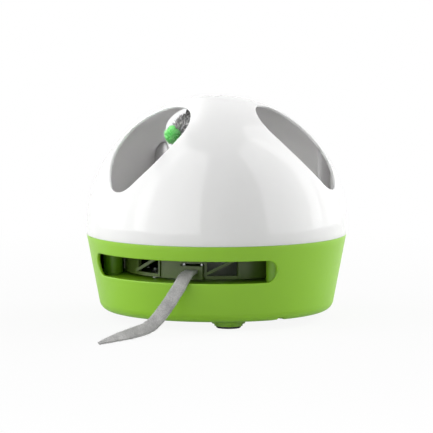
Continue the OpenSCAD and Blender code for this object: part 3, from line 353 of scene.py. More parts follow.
# %% [markdown]
# ## The felt tail
# The tail is a strip of thick felt, held by a clamp on the drum. It leaves through the slot, bends down over the sill
# and lies on the floor with a twist. Its path repeats the CAD route point by point. A smooth curve through those
# points carries a soft-cornered section, and then loose fibres are planted all over it, because felt without a fuzzy
# outline looks like rubber.

# %% Fibres as thin tapered strands
FIBRE_SIDES = 3
FIBRE_POINTS = 2 * FIBRE_SIDES + 1
# A fibre more upright than this takes its sides from the X axis
UPRIGHT = 0.9
# The ring half way: how far along it stands, its share of the bend and its share of the width
HALF_WAY, HALF_BEND, HALF_WIDTH = 0.55, 0.2, 0.75


def plant_fibres(skin, roots, ways, lengths, width, bend, finish=0):
    """Plants three-sided fibres: each has a ring at its root, a ring half way and a pointed, bent tip."""
    roots, ways = np.asarray(roots), np.asarray(ways)
    ways = ways / np.linalg.norm(ways, axis=1, keepdims=True)
    guide = np.where(np.abs(ways[:, 2:3]) < UPRIGHT, [[0.0, 0.0, 1.0]], [[1.0, 0.0, 0.0]])
    side = np.cross(ways, guide)
    side = side / np.linalg.norm(side, axis=1, keepdims=True)
    other = np.cross(ways, side)
    reach = np.asarray(lengths)[:, None]
    middle = roots + ways * reach * HALF_WAY + bend * reach * HALF_BEND
    tip = roots + ways * reach + bend * reach
    strands = []
    for centre, share in ((roots, 1.0), (middle, HALF_WIDTH)):
        for turn in round_turns(FIBRE_SIDES):
            strands.append(centre + width * share * (math.cos(turn) * side + math.sin(turn) * other))
    strands.append(tip)
    points = np.stack(strands, axis=1)
    one_fibre = [(2, 1, 0), (0, 1, 4, 3), (1, 2, 5, 4), (2, 0, 3, 5), (3, 4, 6), (4, 5, 6), (5, 3, 6)]
    faces = [[FIBRE_POINTS * n + i for i in face] for n in range(len(roots)) for face in one_fibre]
    skin.add_faces(points, faces, finish)


# %% Build the tail
tail_route = MM * np.array([
    [-23, -54.3, 41], [-25.9, -60.9, 41], [-28.7, -67.6, 41], [-31.6, -74.4, 40.6],
    [-34.4, -80.2, 38.7], [-37.6, -85.4, 34.8], [-41.6, -88.8, 29.2], [-46.2, -91.6, 23],
    [-51.4, -94.2, 16.4], [-57.2, -97.4, 10.2], [-63.6, -102.2, 6.2], [-70.6, -108.6, 4.8],
    [-78, -116, 3.9], [-86, -124.4, 3.2], [-94.2, -133, 2.3], [-102, -141, 1.3]])
tail_aim = np.array([
    [0.92, -0.39, 0], [0.92, -0.39, 0], [0.92, -0.39, 0], [0.92, -0.39, 0],
    [0.92, -0.39, 0], [0.92, -0.37, -0.05], [0.92, -0.34, -0.12], [0.9, -0.32, -0.2],
    [0.86, -0.34, -0.32], [0.78, -0.4, -0.45], [0.68, -0.46, -0.56], [0.58, -0.5, -0.65],
    [0.52, -0.5, -0.7], [0.5, -0.5, -0.7], [0.5, -0.5, -0.7], [0.5, -0.5, -0.7]])
tail_taper = np.array([1, 1, 1, 1, 1, 1, 1, 1, 1, 1, 0.97, 0.92, 0.82, 0.66, 0.45, 0.2])
TAIL_WIDTH = 9.6 * MM
TAIL_THICK = 2.6 * MM
TAIL_STEPS = 8
TAIL_SIDES = 20
# A power of 1 makes the section an ellipse, and a smaller one squares its corners
TAIL_CORNER = 0.45
# Cut felt is uneven: the spread of its section, as a share
TAIL_WAVER = 0.025
TAIL_TIP = 0.8 * MM
TAIL_LIFT = 0.1 * MM
FELT_SEED = 7
FUZZ_COUNT = 2600
# The point of the route from which on the felt is fuzzy
FUZZ_FIRST = 3
# Shortest and longest fibre in millimetres
FUZZ_LONG = (0.4, 1.1)
FUZZ_WIDE = 0.05 * MM
FUZZ_SPREAD = 0.9
FUZZ_BEND = 0.4
FUZZ_LIFT = 0.05 * MM


def smooth_through(values, steps):
    """A smooth curve through a list of values (Catmull-Rom), with a number of steps between two of them."""
    values = np.asarray(values, float)
    padded = np.concatenate([2 * values[:1] - values[1:2], values, 2 * values[-1:] - values[-2:-1]])
    made = []
    for k in range(len(values) - 1):
        a, b, c, d = padded[k : k + 4]
        for t in np.arange(steps) / steps:
            made.append(0.5 * (2 * b + (c - a) * t + (2 * a - 5 * b + 4 * c - d) * t**2
                               + (3 * b - a - 3 * c + d) * t**3))
    return np.array([*made, values[-1]])


def lengthwise(rows):
    return rows / np.linalg.norm(rows, axis=-1, keepdims=True)


tail_path = smooth_through(tail_route, TAIL_STEPS)
tail_way = lengthwise(np.gradient(tail_path, axis=0))
tail_side = smooth_through(tail_aim, TAIL_STEPS)
tail_side = lengthwise(tail_side - (tail_side * tail_way).sum(1, keepdims=True) * tail_way)
tail_up = np.cross(tail_side, tail_way)
tail_share = smooth_through(tail_taper[:, None], TAIL_STEPS)
section_turn = round_turns(TAIL_SIDES)
section_x = np.sign(np.cos(section_turn)) * np.abs(np.cos(section_turn)) ** TAIL_CORNER
section_y = np.sign(np.sin(section_turn)) * np.abs(np.sin(section_turn)) ** TAIL_CORNER
felt_draw = np.random.default_rng(FELT_SEED)
edge_waver = 1 + TAIL_WAVER * felt_draw.normal(size=(len(tail_path), len(section_turn)))
tail_rows = (
    tail_path[:, None]
    + (TAIL_WIDTH / 2 * tail_share)[:, :, None] * (section_x * edge_waver)[:, :, None] * tail_side[:, None]
    + (TAIL_THICK / 2 * np.sqrt(tail_share))[:, :, None] * (section_y * edge_waver)[:, :, None] * tail_up[:, None])
tail_rows[:, :, 2] = np.maximum(tail_rows[:, :, 2], TAIL_LIFT)
tail_skin = Skin()
tail_skin.add_rows(tail_rows, closed=True)
tail_skin.add_fan(tail_path[0], tail_rows[0])
tail_skin.add_fan(tail_path[-1] + tail_way[-1] * TAIL_TIP, tail_rows[-1])
fuzz_row = felt_draw.integers(FUZZ_FIRST * TAIL_STEPS, len(tail_path) - 1, FUZZ_COUNT)
fuzz_column = felt_draw.integers(0, len(section_turn), FUZZ_COUNT)
fuzz_root = tail_rows[fuzz_row, fuzz_column] + tail_way[fuzz_row] * felt_draw.uniform(0, 1, (FUZZ_COUNT, 1)) * MM
fuzz_way = lengthwise(fuzz_root - tail_path[fuzz_row]) + FUZZ_SPREAD * felt_draw.normal(size=(FUZZ_COUNT, 3))
fuzz_long = felt_draw.uniform(*FUZZ_LONG, FUZZ_COUNT) * MM
plant_fibres(tail_skin, fuzz_root, fuzz_way, fuzz_long, FUZZ_WIDE,
             FUZZ_BEND * felt_draw.normal(size=(FUZZ_COUNT, 3)))
tail_points = np.array(tail_skin.points)
tail_points[:, 2] = np.maximum(tail_points[:, 2], FUZZ_LIFT)
tail_skin.points = tail_points.tolist()
felt_tail = make_piece("felt_tail", tail_skin, "carousel", [tail_felt], ["tail"])

# %% [markdown]
# ## The dome
# The dome is one injection moulding: a sphere with its lower part cut off, three egg-shaped windows and three screw
# bosses inside. A boolean cut would leave ragged triangles and knife edges. Instead each third of the dome is a grid
# around its window: for every direction from the window's middle, a row starts at the seam or at the joint with the
# next third, runs over the outside to the window, rounds the rim and comes back along the inside. A mould's edges are
# never sharp, and the rim's round edge is what catches the light in the window.

# %% The window's egg outline
DOME_WALL = 2.4 * MM
SEAM = 61.7 * MM
RIM_ROUND = 0.7 * MM
SEAM_ROUND = 0.45 * MM
WINDOW_TOP_R = 30.5 * MM
WINDOW_LOW_R = 16 * MM
WINDOW_SPAN = 36 * MM
WINDOW_SHIFT = 11 * MM
WINDOW_TILT = math.radians(43.5)
WINDOW_BEARINGS = (60, 180, 300)
ARC_POINTS = 200
dome_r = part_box("dome_shell")[1].x
dome_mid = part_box("dome_shell")[1].z - dome_r
inner_r = dome_r - DOME_WALL


def egg_outline():
    """Polar angle and distance of the outline from the window's axis: wide end, side arc, narrow end, side arc."""
    side_r = (WINDOW_TOP_R**2 + WINDOW_SPAN**2 - WINDOW_LOW_R**2) / (2 * (WINDOW_TOP_R - WINDOW_LOW_R))
    meet = math.degrees(math.asin(WINDOW_SPAN / (side_r - WINDOW_LOW_R)))
    low = WINDOW_SHIFT - WINDOW_SPAN
    arcs = [(0, WINDOW_SHIFT, WINDOW_TOP_R, 0, 180),
            (side_r - WINDOW_TOP_R, WINDOW_SHIFT, side_r, 180, 180 + meet),
            (0, low, WINDOW_LOW_R, 180 + meet, 360 - meet),
            (WINDOW_TOP_R - side_r, WINDOW_SHIFT, side_r, 360 - meet, 360)]
    points = []
    for x, v, r, start, end in arcs:
        turn = np.radians(np.linspace(start, end, ARC_POINTS))
        points.append(np.stack([x + r * np.cos(turn), v + r * np.sin(turn)], 1))
    points = np.concatenate(points)
    angle = np.arctan2(points[:, 1], points[:, 0]) % (2 * math.pi)
    order = np.argsort(angle)
    return angle[order], np.hypot(*points.T)[order]


egg_angle, egg_distance = egg_outline()
window_long = WINDOW_TOP_R + WINDOW_SPAN + WINDOW_LOW_R
print("window, widest and longest in mm:", round(2 * WINDOW_TOP_R / MM), round(window_long / MM, 1))

# %% Where a third of the dome ends
MERIDIAN_STEPS = 36
SEAM_STEPS = 36
DOME_RINGS = 12
ROUND_STEPS = 5
TINY = 1e-9
TINY_TURN = 1e-6
facing = np.array([0, -math.cos(WINDOW_TILT), math.sin(WINDOW_TILT)])
across = np.array([1.0, 0, 0])
rising = np.array([0, math.sin(WINDOW_TILT), math.cos(WINDOW_TILT)])
# A third of the dome reaches this far to each side of its window
HALF_THIRD = math.radians(60)


def seam_point(turn, radius, above):
    """A point on a sphere of this radius, this far above the seam, at a bearing in radians."""
    height = SEAM + above - dome_mid
    flat = math.sqrt(radius**2 - height**2)
    return np.array([flat * math.sin(turn), -flat * math.cos(turn), height])


def bow(start, end, radius):
    """Points from one direction to another along a great circle, on a sphere of this radius."""
    start, end = start / np.linalg.norm(start), end / np.linalg.norm(end)
    angle = math.acos(min(1.0, float(start @ end)))
    share = np.linspace(0, 1, DOME_RINGS + 1)[:, None]
    return radius * (np.sin((1 - share) * angle) * start + np.sin(share * angle) * end) / math.sin(angle)


def border_direction(turn):
    """Where a third of the dome ends in this direction from its window, and its bearing if that is the seam."""
    way = math.cos(turn) * across + math.sin(turn) * rising
    best, bearing = None, None
    for side in (-1, 1):
        normal = np.array([side * math.cos(HALF_THIRD), math.sin(HALF_THIRD), 0])
        if way @ normal > TINY:
            reach = math.atan2(-facing @ normal, way @ normal)
            best = reach if best is None else min(best, reach)
    level = (SEAM + SEAM_ROUND - dome_mid) / dome_r
    size = math.hypot(facing[2], way[2])
    down = math.atan2(way[2], facing[2]) + math.acos(level / size)
    if best is None or down < best + TINY:
        best = down
        hit = math.cos(best) * facing + math.sin(best) * way
        bearing = math.atan2(hit[0], -hit[1])
    return math.cos(best) * facing + math.sin(best) * way, bearing


# %% A row over a third of the dome
def rim_profile(turn):
    """Points over a window's rounded rim, from the outer sphere to the inner one."""
    hole = float(np.interp(turn % (2 * math.pi), egg_angle, egg_distance, period=2 * math.pi)) - RIM_ROUND / 2
    way = math.cos(turn) * across + math.sin(turn) * rising
    out = hole + RIM_ROUND
    high = math.sqrt((dome_r - RIM_ROUND) ** 2 - out**2)
    low = math.sqrt((inner_r + RIM_ROUND) ** 2 - out**2)
    points = []
    arcs = ((high, math.atan2(high, out), math.pi), (low, math.pi, math.pi + math.atan2(low, out)))
    for centre, start, end in arcs:
        for t in np.linspace(start, end, ROUND_STEPS + 1):
            points.append((out + RIM_ROUND * math.cos(t)) * way + (centre + RIM_ROUND * math.sin(t)) * facing)
    return points


def dome_row(turn):
    """One row of a third: outside, rim and inside, and its bearing where it ends at the seam."""
    rim = rim_profile(turn)
    border, bearing = border_direction(turn)
    inner_border = border if bearing is None else seam_point(bearing, inner_r, SEAM_ROUND)
    outside = bow(rim[0], border, dome_r)[::-1]
    inside = bow(rim[-1], inner_border, inner_r)
    return np.concatenate([outside, rim[1:-1], inside]), bearing


def seam_row(bearing):
    """The dome's lower edge at one bearing: round, flat and round again."""
    row = [seam_point(bearing, dome_r, SEAM_ROUND)]
    outer, inner = np.hypot(*row[0][:2]), np.hypot(*seam_point(bearing, inner_r, SEAM_ROUND)[:2])
    level = SEAM - dome_mid
    for r, start, end in ((outer - SEAM_ROUND, 0, -90), (inner + SEAM_ROUND, -90, -180)):
        for t in np.radians(np.linspace(start, end, ROUND_STEPS + 1)):
            flat = r + SEAM_ROUND * math.cos(t)
            row.append(np.array([flat * math.sin(bearing), -flat * math.cos(bearing),
                                 level + SEAM_ROUND * (1 + math.sin(t))]))
    return [*row, seam_point(bearing, inner_r, SEAM_ROUND)]


# %% One third of the dome
corner_point = seam_point(HALF_THIRD, dome_r, SEAM_ROUND)
corner = math.atan2(corner_point @ rising, corner_point @ across)
turns = np.concatenate([
    np.linspace(corner, math.pi / 2, MERIDIAN_STEPS + 1)[:-1],
    np.linspace(math.pi / 2, math.pi - corner, MERIDIAN_STEPS + 1)[:-1],
    np.linspace(math.pi - corner, 2 * math.pi + corner, SEAM_STEPS + 1)[:-1]])
third_rows = [dome_row(t) for t in turns]
third = np.stack([row for row, _ in third_rows])
seam_inner = sorted(b for _, b in third_rows if b is not None and abs(b) < HALF_THIRD - TINY_TURN)
seam_bearings = [-HALF_THIRD, *seam_inner, HALF_THIRD]
print("one third of the dome:", third.shape[0], "rows of", third.shape[1], "points")

# %% Join the thirds and add the screw bosses
BOSS_R = 4.6 * MM
BOSS_RING_R = 79 * MM
BOSS_BEARINGS = (-36, 84, 204)
BOSS_BORE_R = 1.55 * MM
BOSS_BORE_DEPTH = 8 * MM
BOSS_SIDES = 48
boss_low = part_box("paw_deck")[1].z


def turned_about_z(points, degrees):
    a = math.radians(degrees)
    turn = np.array([[math.cos(a), -math.sin(a), 0], [math.sin(a), math.cos(a), 0], [0, 0, 1]])
    return np.asarray(points) @ turn.T


def add_boss(skin, bearing):
    """A screw boss: a bored column that runs up into the dome's wall."""
    middle = turned_about_z([[0, -BOSS_RING_R, 0]], bearing)[0]
    turn = round_turns(BOSS_SIDES)
    ring = np.stack([np.cos(turn), np.sin(turn), 0 * turn], 1)
    into_wall = inner_r + DOME_WALL / 2
    foot = [middle + r * ring + [0, 0, z] for r, z in (
        (BOSS_BORE_R, boss_low + BOSS_BORE_DEPTH), (BOSS_BORE_R, boss_low), (BOSS_R - SEAM_ROUND, boss_low),
        (BOSS_R, boss_low + SEAM_ROUND))]
    top = middle + BOSS_R * ring
    top[:, 2] = dome_mid + np.sqrt(into_wall**2 - top[:, 0] ** 2 - top[:, 1] ** 2)
    skin.add_rows([*foot, top], closed=True, finish=1)
    skin.add_fan(middle + [0, 0, boss_low + BOSS_BORE_DEPTH], foot[0], finish=1)
    skin.add_fan(middle + [0, 0, dome_mid + math.sqrt(into_wall**2 - BOSS_RING_R**2)], top, finish=1)


dome_skin = Skin()
seam_rows = np.stack([seam_row(b) for b in seam_bearings])
lift = np.array([0, 0, dome_mid])
outside_end = DOME_RINGS + 2 * ROUND_STEPS + 1
for bearing in WINDOW_BEARINGS:
    around = turned_about_z(third.reshape(-1, 3), bearing).reshape(third.shape) + lift
    dome_skin.add_rows(np.swapaxes(around[:, : outside_end + 1], 0, 1), closed=True)
    dome_skin.add_rows(np.swapaxes(around[:, outside_end:], 0, 1), closed=True, finish=1)
    edge = turned_about_z(seam_rows.reshape(-1, 3), bearing).reshape(seam_rows.shape) + lift
    dome_skin.add_rows(edge)
for bearing in BOSS_BEARINGS:
    add_boss(dome_skin, bearing)
make_piece("dome_moulding", dome_skin, "casing", [white_abs, white_abs_inside], ["dome_shell"])

# %% [markdown]
# ## The base
# The base is a bowl with a leaning wall, a large round edge below and one long slot with round ends. The wall could
# be cut by a boolean too, with the same ragged result, so it is turned like pottery from a profile, and a patch
# around the slot is drawn as rings: from the patch's square border, in to the slot, round its edge and back along the
# inside. The round lower edge, notched by the screw wells, and the floor with its posts and battery bay already have
# the right shape in the CAD solid, so those faces are copied.

# %% The base's wall
BASE_Z = 6 * MM
BASE_WALL = 2.5 * MM
BASE_FILLET = 8 * MM
BASE_DRAFT = math.radians(10.7)
SLOT_LOW = 34.7 * MM
SLOT_HIGH = 50.9 * MM
SLOT_MID = math.radians(-29)
SLOT_HALF = math.radians(98.7 / 2)
SLOT_ROUND = 0.8 * MM
LIP_RISE = 2.2 * MM
LIP_T = 1.8 * MM
LIP_R = 92.61 * MM
LIP_ROUND = 0.3 * MM
base_top_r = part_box("base_tub")[1].x
wall_flat = BASE_WALL / math.cos(BASE_DRAFT)
slot_end_r = (SLOT_HIGH - SLOT_LOW) / 2
slot_mid_z = (SLOT_LOW + SLOT_HIGH) / 2


def wall_r(z):
    return base_top_r - (SEAM - z) * math.tan(BASE_DRAFT)


slot_ref_r = wall_r(slot_mid_z)
slot_run = slot_ref_r * (SLOT_HALF - math.asin(slot_end_r / slot_ref_r))
print("the slot's straight run in mm:", round(2 * slot_run / MM, 1))

# %% Rings round the slot
PATCH_HALF = 91 * MM
PATCH_LOW = 28.2 * MM
PATCH_HIGH = 56.6 * MM
SIDE_STEPS = 12
END_STEPS = 6
RUN_STEPS = 50
REST_STEPS = 116
# Rings between the patch's border (0) and the slot's edge (1), on the outside and on the inside
OUTER_RINGS = (0, 0.3, 0.6, 0.85)
INNER_RINGS = (0.5, 0)
slot_runs = np.linspace(-slot_run, slot_run, RUN_STEPS + 1)
quarter_turn = np.radians(np.linspace(0, 90, ROUND_STEPS + 1))


def on_wall(run, z, depth):
    """A point of the wall: run is the arc from the slot's middle, and depth goes in from the outside."""
    turn = SLOT_MID + run / slot_ref_r
    r = wall_r(z) - depth / math.cos(BASE_DRAFT)
    return np.array([r * math.sin(turn), -r * math.cos(turn), z])


def slot_loop(grow):
    """The slot's outline grown by a distance: top edge, right end, bottom edge, left end."""
    r = slot_end_r + grow
    ends = np.radians(np.linspace(90, -90, 2 * END_STEPS + SIDE_STEPS + 1))
    return np.concatenate([
        [(u, slot_mid_z + r) for u in slot_runs[:-1]],
        [(slot_run + r * math.cos(t), slot_mid_z + r * math.sin(t)) for t in ends[:-1]],
        [(u, slot_mid_z - r) for u in slot_runs[:0:-1]],
        [(-slot_run - r * math.cos(t), slot_mid_z + r * math.sin(t)) for t in ends[:0:-1]]])


def patch_loop():
    """The patch's square border, point for point with the slot's outline."""
    out = np.linspace(slot_run, PATCH_HALF, END_STEPS + 1)
    fall = np.linspace(PATCH_HIGH, PATCH_LOW, SIDE_STEPS + 1)
    right = ([(u, PATCH_HIGH) for u in out[:-1]] + [(PATCH_HALF, z) for z in fall[:-1]]
             + [(u, PATCH_LOW) for u in out[:0:-1]])
    left = ([(-u, PATCH_LOW) for u in out[:-1]] + [(-PATCH_HALF, z) for z in fall[:0:-1]]
            + [(-u, PATCH_HIGH) for u in out[:0:-1]])
    high, low = [(u, PATCH_HIGH) for u in slot_runs[:-1]], [(u, PATCH_LOW) for u in slot_runs[:0:-1]]
    return np.array(high + right + low + left)


def slot_rings():
    """Rings from the patch's border to the slot, round its edge and out again on the inside."""
    border = patch_loop()
    rings = []
    for share in OUTER_RINGS:
        rings.append((border + share * (slot_loop(SLOT_ROUND) - border), 0))
    for t in quarter_turn:
        rings.append((slot_loop(SLOT_ROUND * (1 - math.sin(t))), SLOT_ROUND * (1 - math.cos(t))))
    for t in quarter_turn:
        rings.append((slot_loop(SLOT_ROUND * (1 - math.cos(t))), BASE_WALL - SLOT_ROUND * (1 - math.sin(t))))
    for share in INNER_RINGS:
        rings.append((border + share * (slot_loop(SLOT_ROUND) - border), BASE_WALL))
    return [[on_wall(u, z, depth) for u, z in loop] for loop, depth in rings]


base_skin = Skin()
rings = slot_rings()
base_skin.add_rows(rings, closed=True)
print("rings round the slot:", len(rings))

# %% Turn the rest of the wall
patch_runs = np.concatenate([
    np.linspace(-PATCH_HALF, -slot_run, END_STEPS + 1)[:-1], slot_runs[:-1],
    np.linspace(slot_run, PATCH_HALF, END_STEPS + 1)])
rest_runs = np.linspace(PATCH_HALF, 2 * math.pi * slot_ref_r - PATCH_HALF, REST_STEPS + 1)
all_runs = np.concatenate([patch_runs, rest_runs[1:-1]])
fillet_top = BASE_Z + BASE_FILLET * (1 - math.sin(BASE_DRAFT))
WALL_LAP = 0.25 * MM
BELOW_LEVELS = 6


def turned(profile, runs):
    """Rows of points: a profile of radius and height, turned to each run along the wall."""
    turn = SLOT_MID + runs / slot_ref_r
    return [np.stack([r * np.sin(turn), -r * np.cos(turn), 0 * turn + z], 1) for r, z in profile]


below = np.linspace(PATCH_LOW, fillet_top - WALL_LAP, BELOW_LEVELS)
top_round = [(wall_r(SEAM) - SEAM_ROUND * (1 - math.cos(t)), SEAM - SEAM_ROUND * (1 - math.sin(t)))
             for t in quarter_turn]
lip_in = LIP_R - LIP_T
high_profile = ([(wall_r(PATCH_HIGH), PATCH_HIGH)] + top_round
                + [(LIP_R, SEAM), (LIP_R, SEAM + LIP_RISE - LIP_ROUND), (LIP_R - LIP_ROUND, SEAM + LIP_RISE),
                   (lip_in + LIP_ROUND, SEAM + LIP_RISE), (lip_in, SEAM + LIP_RISE - LIP_ROUND),
                   (lip_in, SEAM - LIP_RISE), (wall_r(SEAM - LIP_RISE) - wall_flat, SEAM - LIP_RISE),
                   (wall_r(PATCH_HIGH) - wall_flat, PATCH_HIGH)])
side_levels = np.linspace(PATCH_LOW, PATCH_HIGH, SIDE_STEPS + 1)
base_skin.add_rows(turned([(wall_r(z), z) for z in below], all_runs), closed=True)
base_skin.add_rows(turned([(wall_r(z) - wall_flat, z) for z in below], all_runs), closed=True)
base_skin.add_rows(turned(high_profile, all_runs), closed=True)
base_skin.add_rows(turned([(wall_r(z), z) for z in side_levels], rest_runs))
base_skin.add_rows(turned([(wall_r(z) - wall_flat, z) for z in side_levels], rest_runs))
print("columns round the base:", len(all_runs))

# %% Copy the floor's own faces
SAME = 0.03 * MM
SHARP_EDGE = math.radians(30)


def on_turned_wall(p):
    """True for a point on a surface that the new wall already has."""
    r, z = math.hypot(p.x, p.y), p.z
    on_side = z > fillet_top - SAME and r > wall_r(z) - wall_flat - SAME
    return on_side or r > lip_in - SAME


cad_base = frame["nodes"]["base_tub"].data
floor_faces = [list(f.vertices) for f in cad_base.polygons
               if not all(on_turned_wall(cad_base.vertices[i].co) for i in f.vertices)]
floor_used = sorted({i for face in floor_faces for i in face})
floor_index = {old: new for new, old in enumerate(floor_used)}
floor_skin = Skin()
floor_skin.add_faces([cad_base.vertices[i].co for i in floor_used],
                     [[floor_index[i] for i in face] for face in floor_faces])
make_piece("base_wall", base_skin, "casing", [lime_abs], ["base_tub"])
base_floor = make_piece("base_floor", floor_skin, "casing", [lime_abs], ["base_tub"])
base_floor.data.set_sharp_from_angle(angle=SHARP_EDGE)

# %% [markdown]
# ## The inner pieces
# The drum, deck, gears, motor, cells and board have their real shape in CAD, so they stay as they are and only get
# their finish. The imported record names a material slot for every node, so one table from slot to finish is enough.

# %% Give every CAD node its finish
slot_finish = {
    "white_gloss_plastic": white_abs, "lime_gloss_plastic": lime_abs, "olive_plastic": olive_abs,
    "grey_plastic": grey_abs, "black_plastic": black_nylon, "white_acetal": acetal, "zinc_steel": zinc_steel,
    "nickel_steel": nickel_steel, "bronze": sintered_bronze, "cell_wrap": cell_film, "board_laminate": board_resist,
    "capacitor_sleeve": capacitor_film, "red_insulation": red_pvc, "black_insulation": black_pvc,
    "grey_rubber": grey_rubber, "tail_felt": tail_felt, "mouse_plush": mouse_pile, "ear_felt": ear_felt,
    "pompom_yarn": pompom_yarn, "eye_plastic": eye_acrylic,
}
for subpart in frame["record"]["subparts"]:
    mesh = frame["nodes"][subpart["node"]].data
    mesh.materials.clear()
    mesh.materials.append(slot_finish[subpart["material_slot"]])

# %% [markdown]
# ## The mouse
# The mouse is stuffed plush: an egg for the body and a slimmer egg for the head, with a pile of 2 to 5 mm. Hair
# particles would not survive an export, so the pile is planted as thin mesh fibres on the two eggs. They lie back
# from the nose to the tail, as real pile is brushed, and keep clear of the eyes. Pile sticks together in tufts of
# lighter and darker tips, so each tuft gets one of two tones and its fibres lean towards a common tip.

# %% The mouse's own frame
MOUSE_BEARING = -70
MOUSE_Z = 139.3 * MM
BODY_LONG = 50 * MM
BODY_R = 14.5 * MM
BODY_EGG = -0.12
BODY_BACK = 31 * MM
HEAD_LONG = 29 * MM
HEAD_R = 11.5 * MM
HEAD_EGG = -0.1
HEAD_PITCH = math.radians(13)
NECK_X = 5.9 * MM
NECK_RISE = 2.5 * MM
mouse_turn = MOUSE_BEARING - 90


def in_mouse(points):
    """From the mouse's frame, with +X towards its nose, to the toy's."""
    return turned_about_z(points, mouse_turn) + [0, 0, MOUSE_Z]


def plush_form(length, radius, egg, along, turn):
    """A point of a stuffed egg along +X: along goes from 0 to pi, tail end to nose end."""
    s = -np.cos(along) + 0 * turn
    r = radius * np.sin(along) * (1 + egg * s)
    return np.stack([length / 2 * (1 + s), r * np.cos(turn), r * np.sin(turn)], -1)


def body_place(points):
    return in_mouse(np.asarray(points) + [-BODY_BACK, 0, 0])


def head_place(points):
    x, y, z = np.moveaxis(np.asarray(points), -1, 0)
    c, s = math.cos(HEAD_PITCH), math.sin(HEAD_PITCH)
    return in_mouse(np.stack([x * c + z * s, y, z * c - x * s], -1) + [NECK_X, 0, NECK_RISE])


print("the nose end in mm:", (head_place([[HEAD_LONG, 0, 0]])[0] / MM).round(1))

# %% Plush on the body and the head
PILE_INSET = 0.6 * MM
TUFT = 6
TUFT_SPREAD = 0.4 * MM
TUFT_DARK = 0.5
# Shortest and longest tuft in millimetres, and a fibre's share of its tuft's length
PILE_LONG = (2.4, 4.6)
PILE_SHORTER = (0.8, 1.0)
PILE_WIDE = 0.22 * MM
# How far a fibre lies back, follows its tuft's own lean and closes up to the tuft's tip
LIE_BACK, LEAN, CLOSE_UP = 0.75, 0.2, 0.8
DROOP, DROOP_SPREAD = 0.15, 0.08
# Fibres keep this far from the eyes, measured to every seventh of their points
EYE_ROOM = 1.4 * MM
EYE_STRIDE = 7
EGG_ROWS = 33
EGG_SIDES = 40
EGG_END = 0.02
SLOPE_STEP = 1e-3
# Each form: its place, length, radius, taper, number of fibres and CAD node
mouse_forms = {
    "plush_body": (body_place, BODY_LONG, BODY_R, BODY_EGG, 6000, "mouse_body"),
    "plush_head": (head_place, HEAD_LONG, HEAD_R, HEAD_EGG, 6600, "mouse_head"),
}
eye_points = np.array([v.co for v in frame["nodes"]["mouse_eyes"].data.vertices])
for name, (place, length, radius, egg, count, node) in mouse_forms.items():
    draw = np.random.default_rng(len(name) + count)
    skin = Skin()
    egg_form = (length, radius - PILE_INSET, egg)
    along = np.linspace(EGG_END, math.pi - EGG_END, EGG_ROWS)
    rows = np.stack([plush_form(*egg_form, a, round_turns(EGG_SIDES)) for a in along])
    skin.add_rows(place(rows.reshape(-1, 3)).reshape(rows.shape), closed=True)
    for end, ring in ((0, 0), (length, -1)):
        skin.add_fan(place([[end, 0, 0]])[0], place(rows[ring]))
    tufts = count // TUFT
    tuft_along = np.repeat(np.arccos(draw.uniform(-1, 1, tufts)), TUFT)
    tuft_turn = np.repeat(draw.uniform(0, 2 * math.pi, tufts), TUFT)
    tuft_lean = np.repeat(draw.normal(size=(tufts, 3)), TUFT, axis=0)
    tuft_dark = np.repeat(draw.random(tufts) < TUFT_DARK, TUFT)
    tuft_long = np.repeat(draw.uniform(*PILE_LONG, tufts), TUFT) * MM
    knot = plush_form(*egg_form, tuft_along, tuft_turn)
    back = lengthwise(knot - plush_form(*egg_form, tuft_along + SLOPE_STEP, tuft_turn))
    aside = lengthwise(plush_form(*egg_form, tuft_along, tuft_turn + SLOPE_STEP) - knot)
    normal = lengthwise(np.cross(aside, back))
    normal *= np.sign((normal * (knot - [length / 2, 0, 0])).sum(1, keepdims=True))
    stray = TUFT_SPREAD * draw.normal(size=(len(knot), 2))
    root = knot + stray[:, :1] * back + stray[:, 1:] * aside
    long = tuft_long * draw.uniform(*PILE_SHORTER, len(knot))
    way = normal + LIE_BACK * back + LEAN * tuft_lean - CLOSE_UP * (root - knot) / long[:, None]
    roots = place(root)
    ways = place(root + way) - roots
    eye_gap = np.linalg.norm(roots[:, None] - eye_points[None, ::EYE_STRIDE], axis=2).min(axis=1)
    clear = eye_gap > EYE_ROOM
    droop = DROOP_SPREAD * draw.normal(size=root.shape) - [0, 0, DROOP]
    for finish, tone in ((0, clear & ~tuft_dark), (1, clear & tuft_dark)):
        plant_fibres(skin, roots[tone], ways[tone], long[tone], PILE_WIDE, droop[tone], finish)
    made = make_piece(name, skin, "carousel", [mouse_pile, mouse_pile_dark], [node])

# %% [markdown]
# ## Ears and pompom nose
# Each ear is a small round of dark felt, sewn on a little cupped. The nose is a pompom: yarn tied in the middle and
# cut to a ball, so its fibres all point outwards from one knot. Fibres of slightly different length keep the ball
# from looking like a solid.

# %% Felt ears
EAR_R = 6 * MM
EAR_T = 1.4 * MM
EAR_CUP = 1.2 * MM
# The share of the cup's depth by which the ear's middle lies back
EAR_DIP = 0.5
# Shares of the thickness, from the felt's middle to its faces and to its soft edge
EAR_FACE, EAR_EDGE = 0.5, 0.25
EAR_RINGS = 8
EAR_SIDES = 40
EAR_FUZZ = 500
# Shortest and longest fibre in millimetres
EAR_FUZZ_LONG = (0.3, 0.8)
EAR_FUZZ_BEND = 0.3


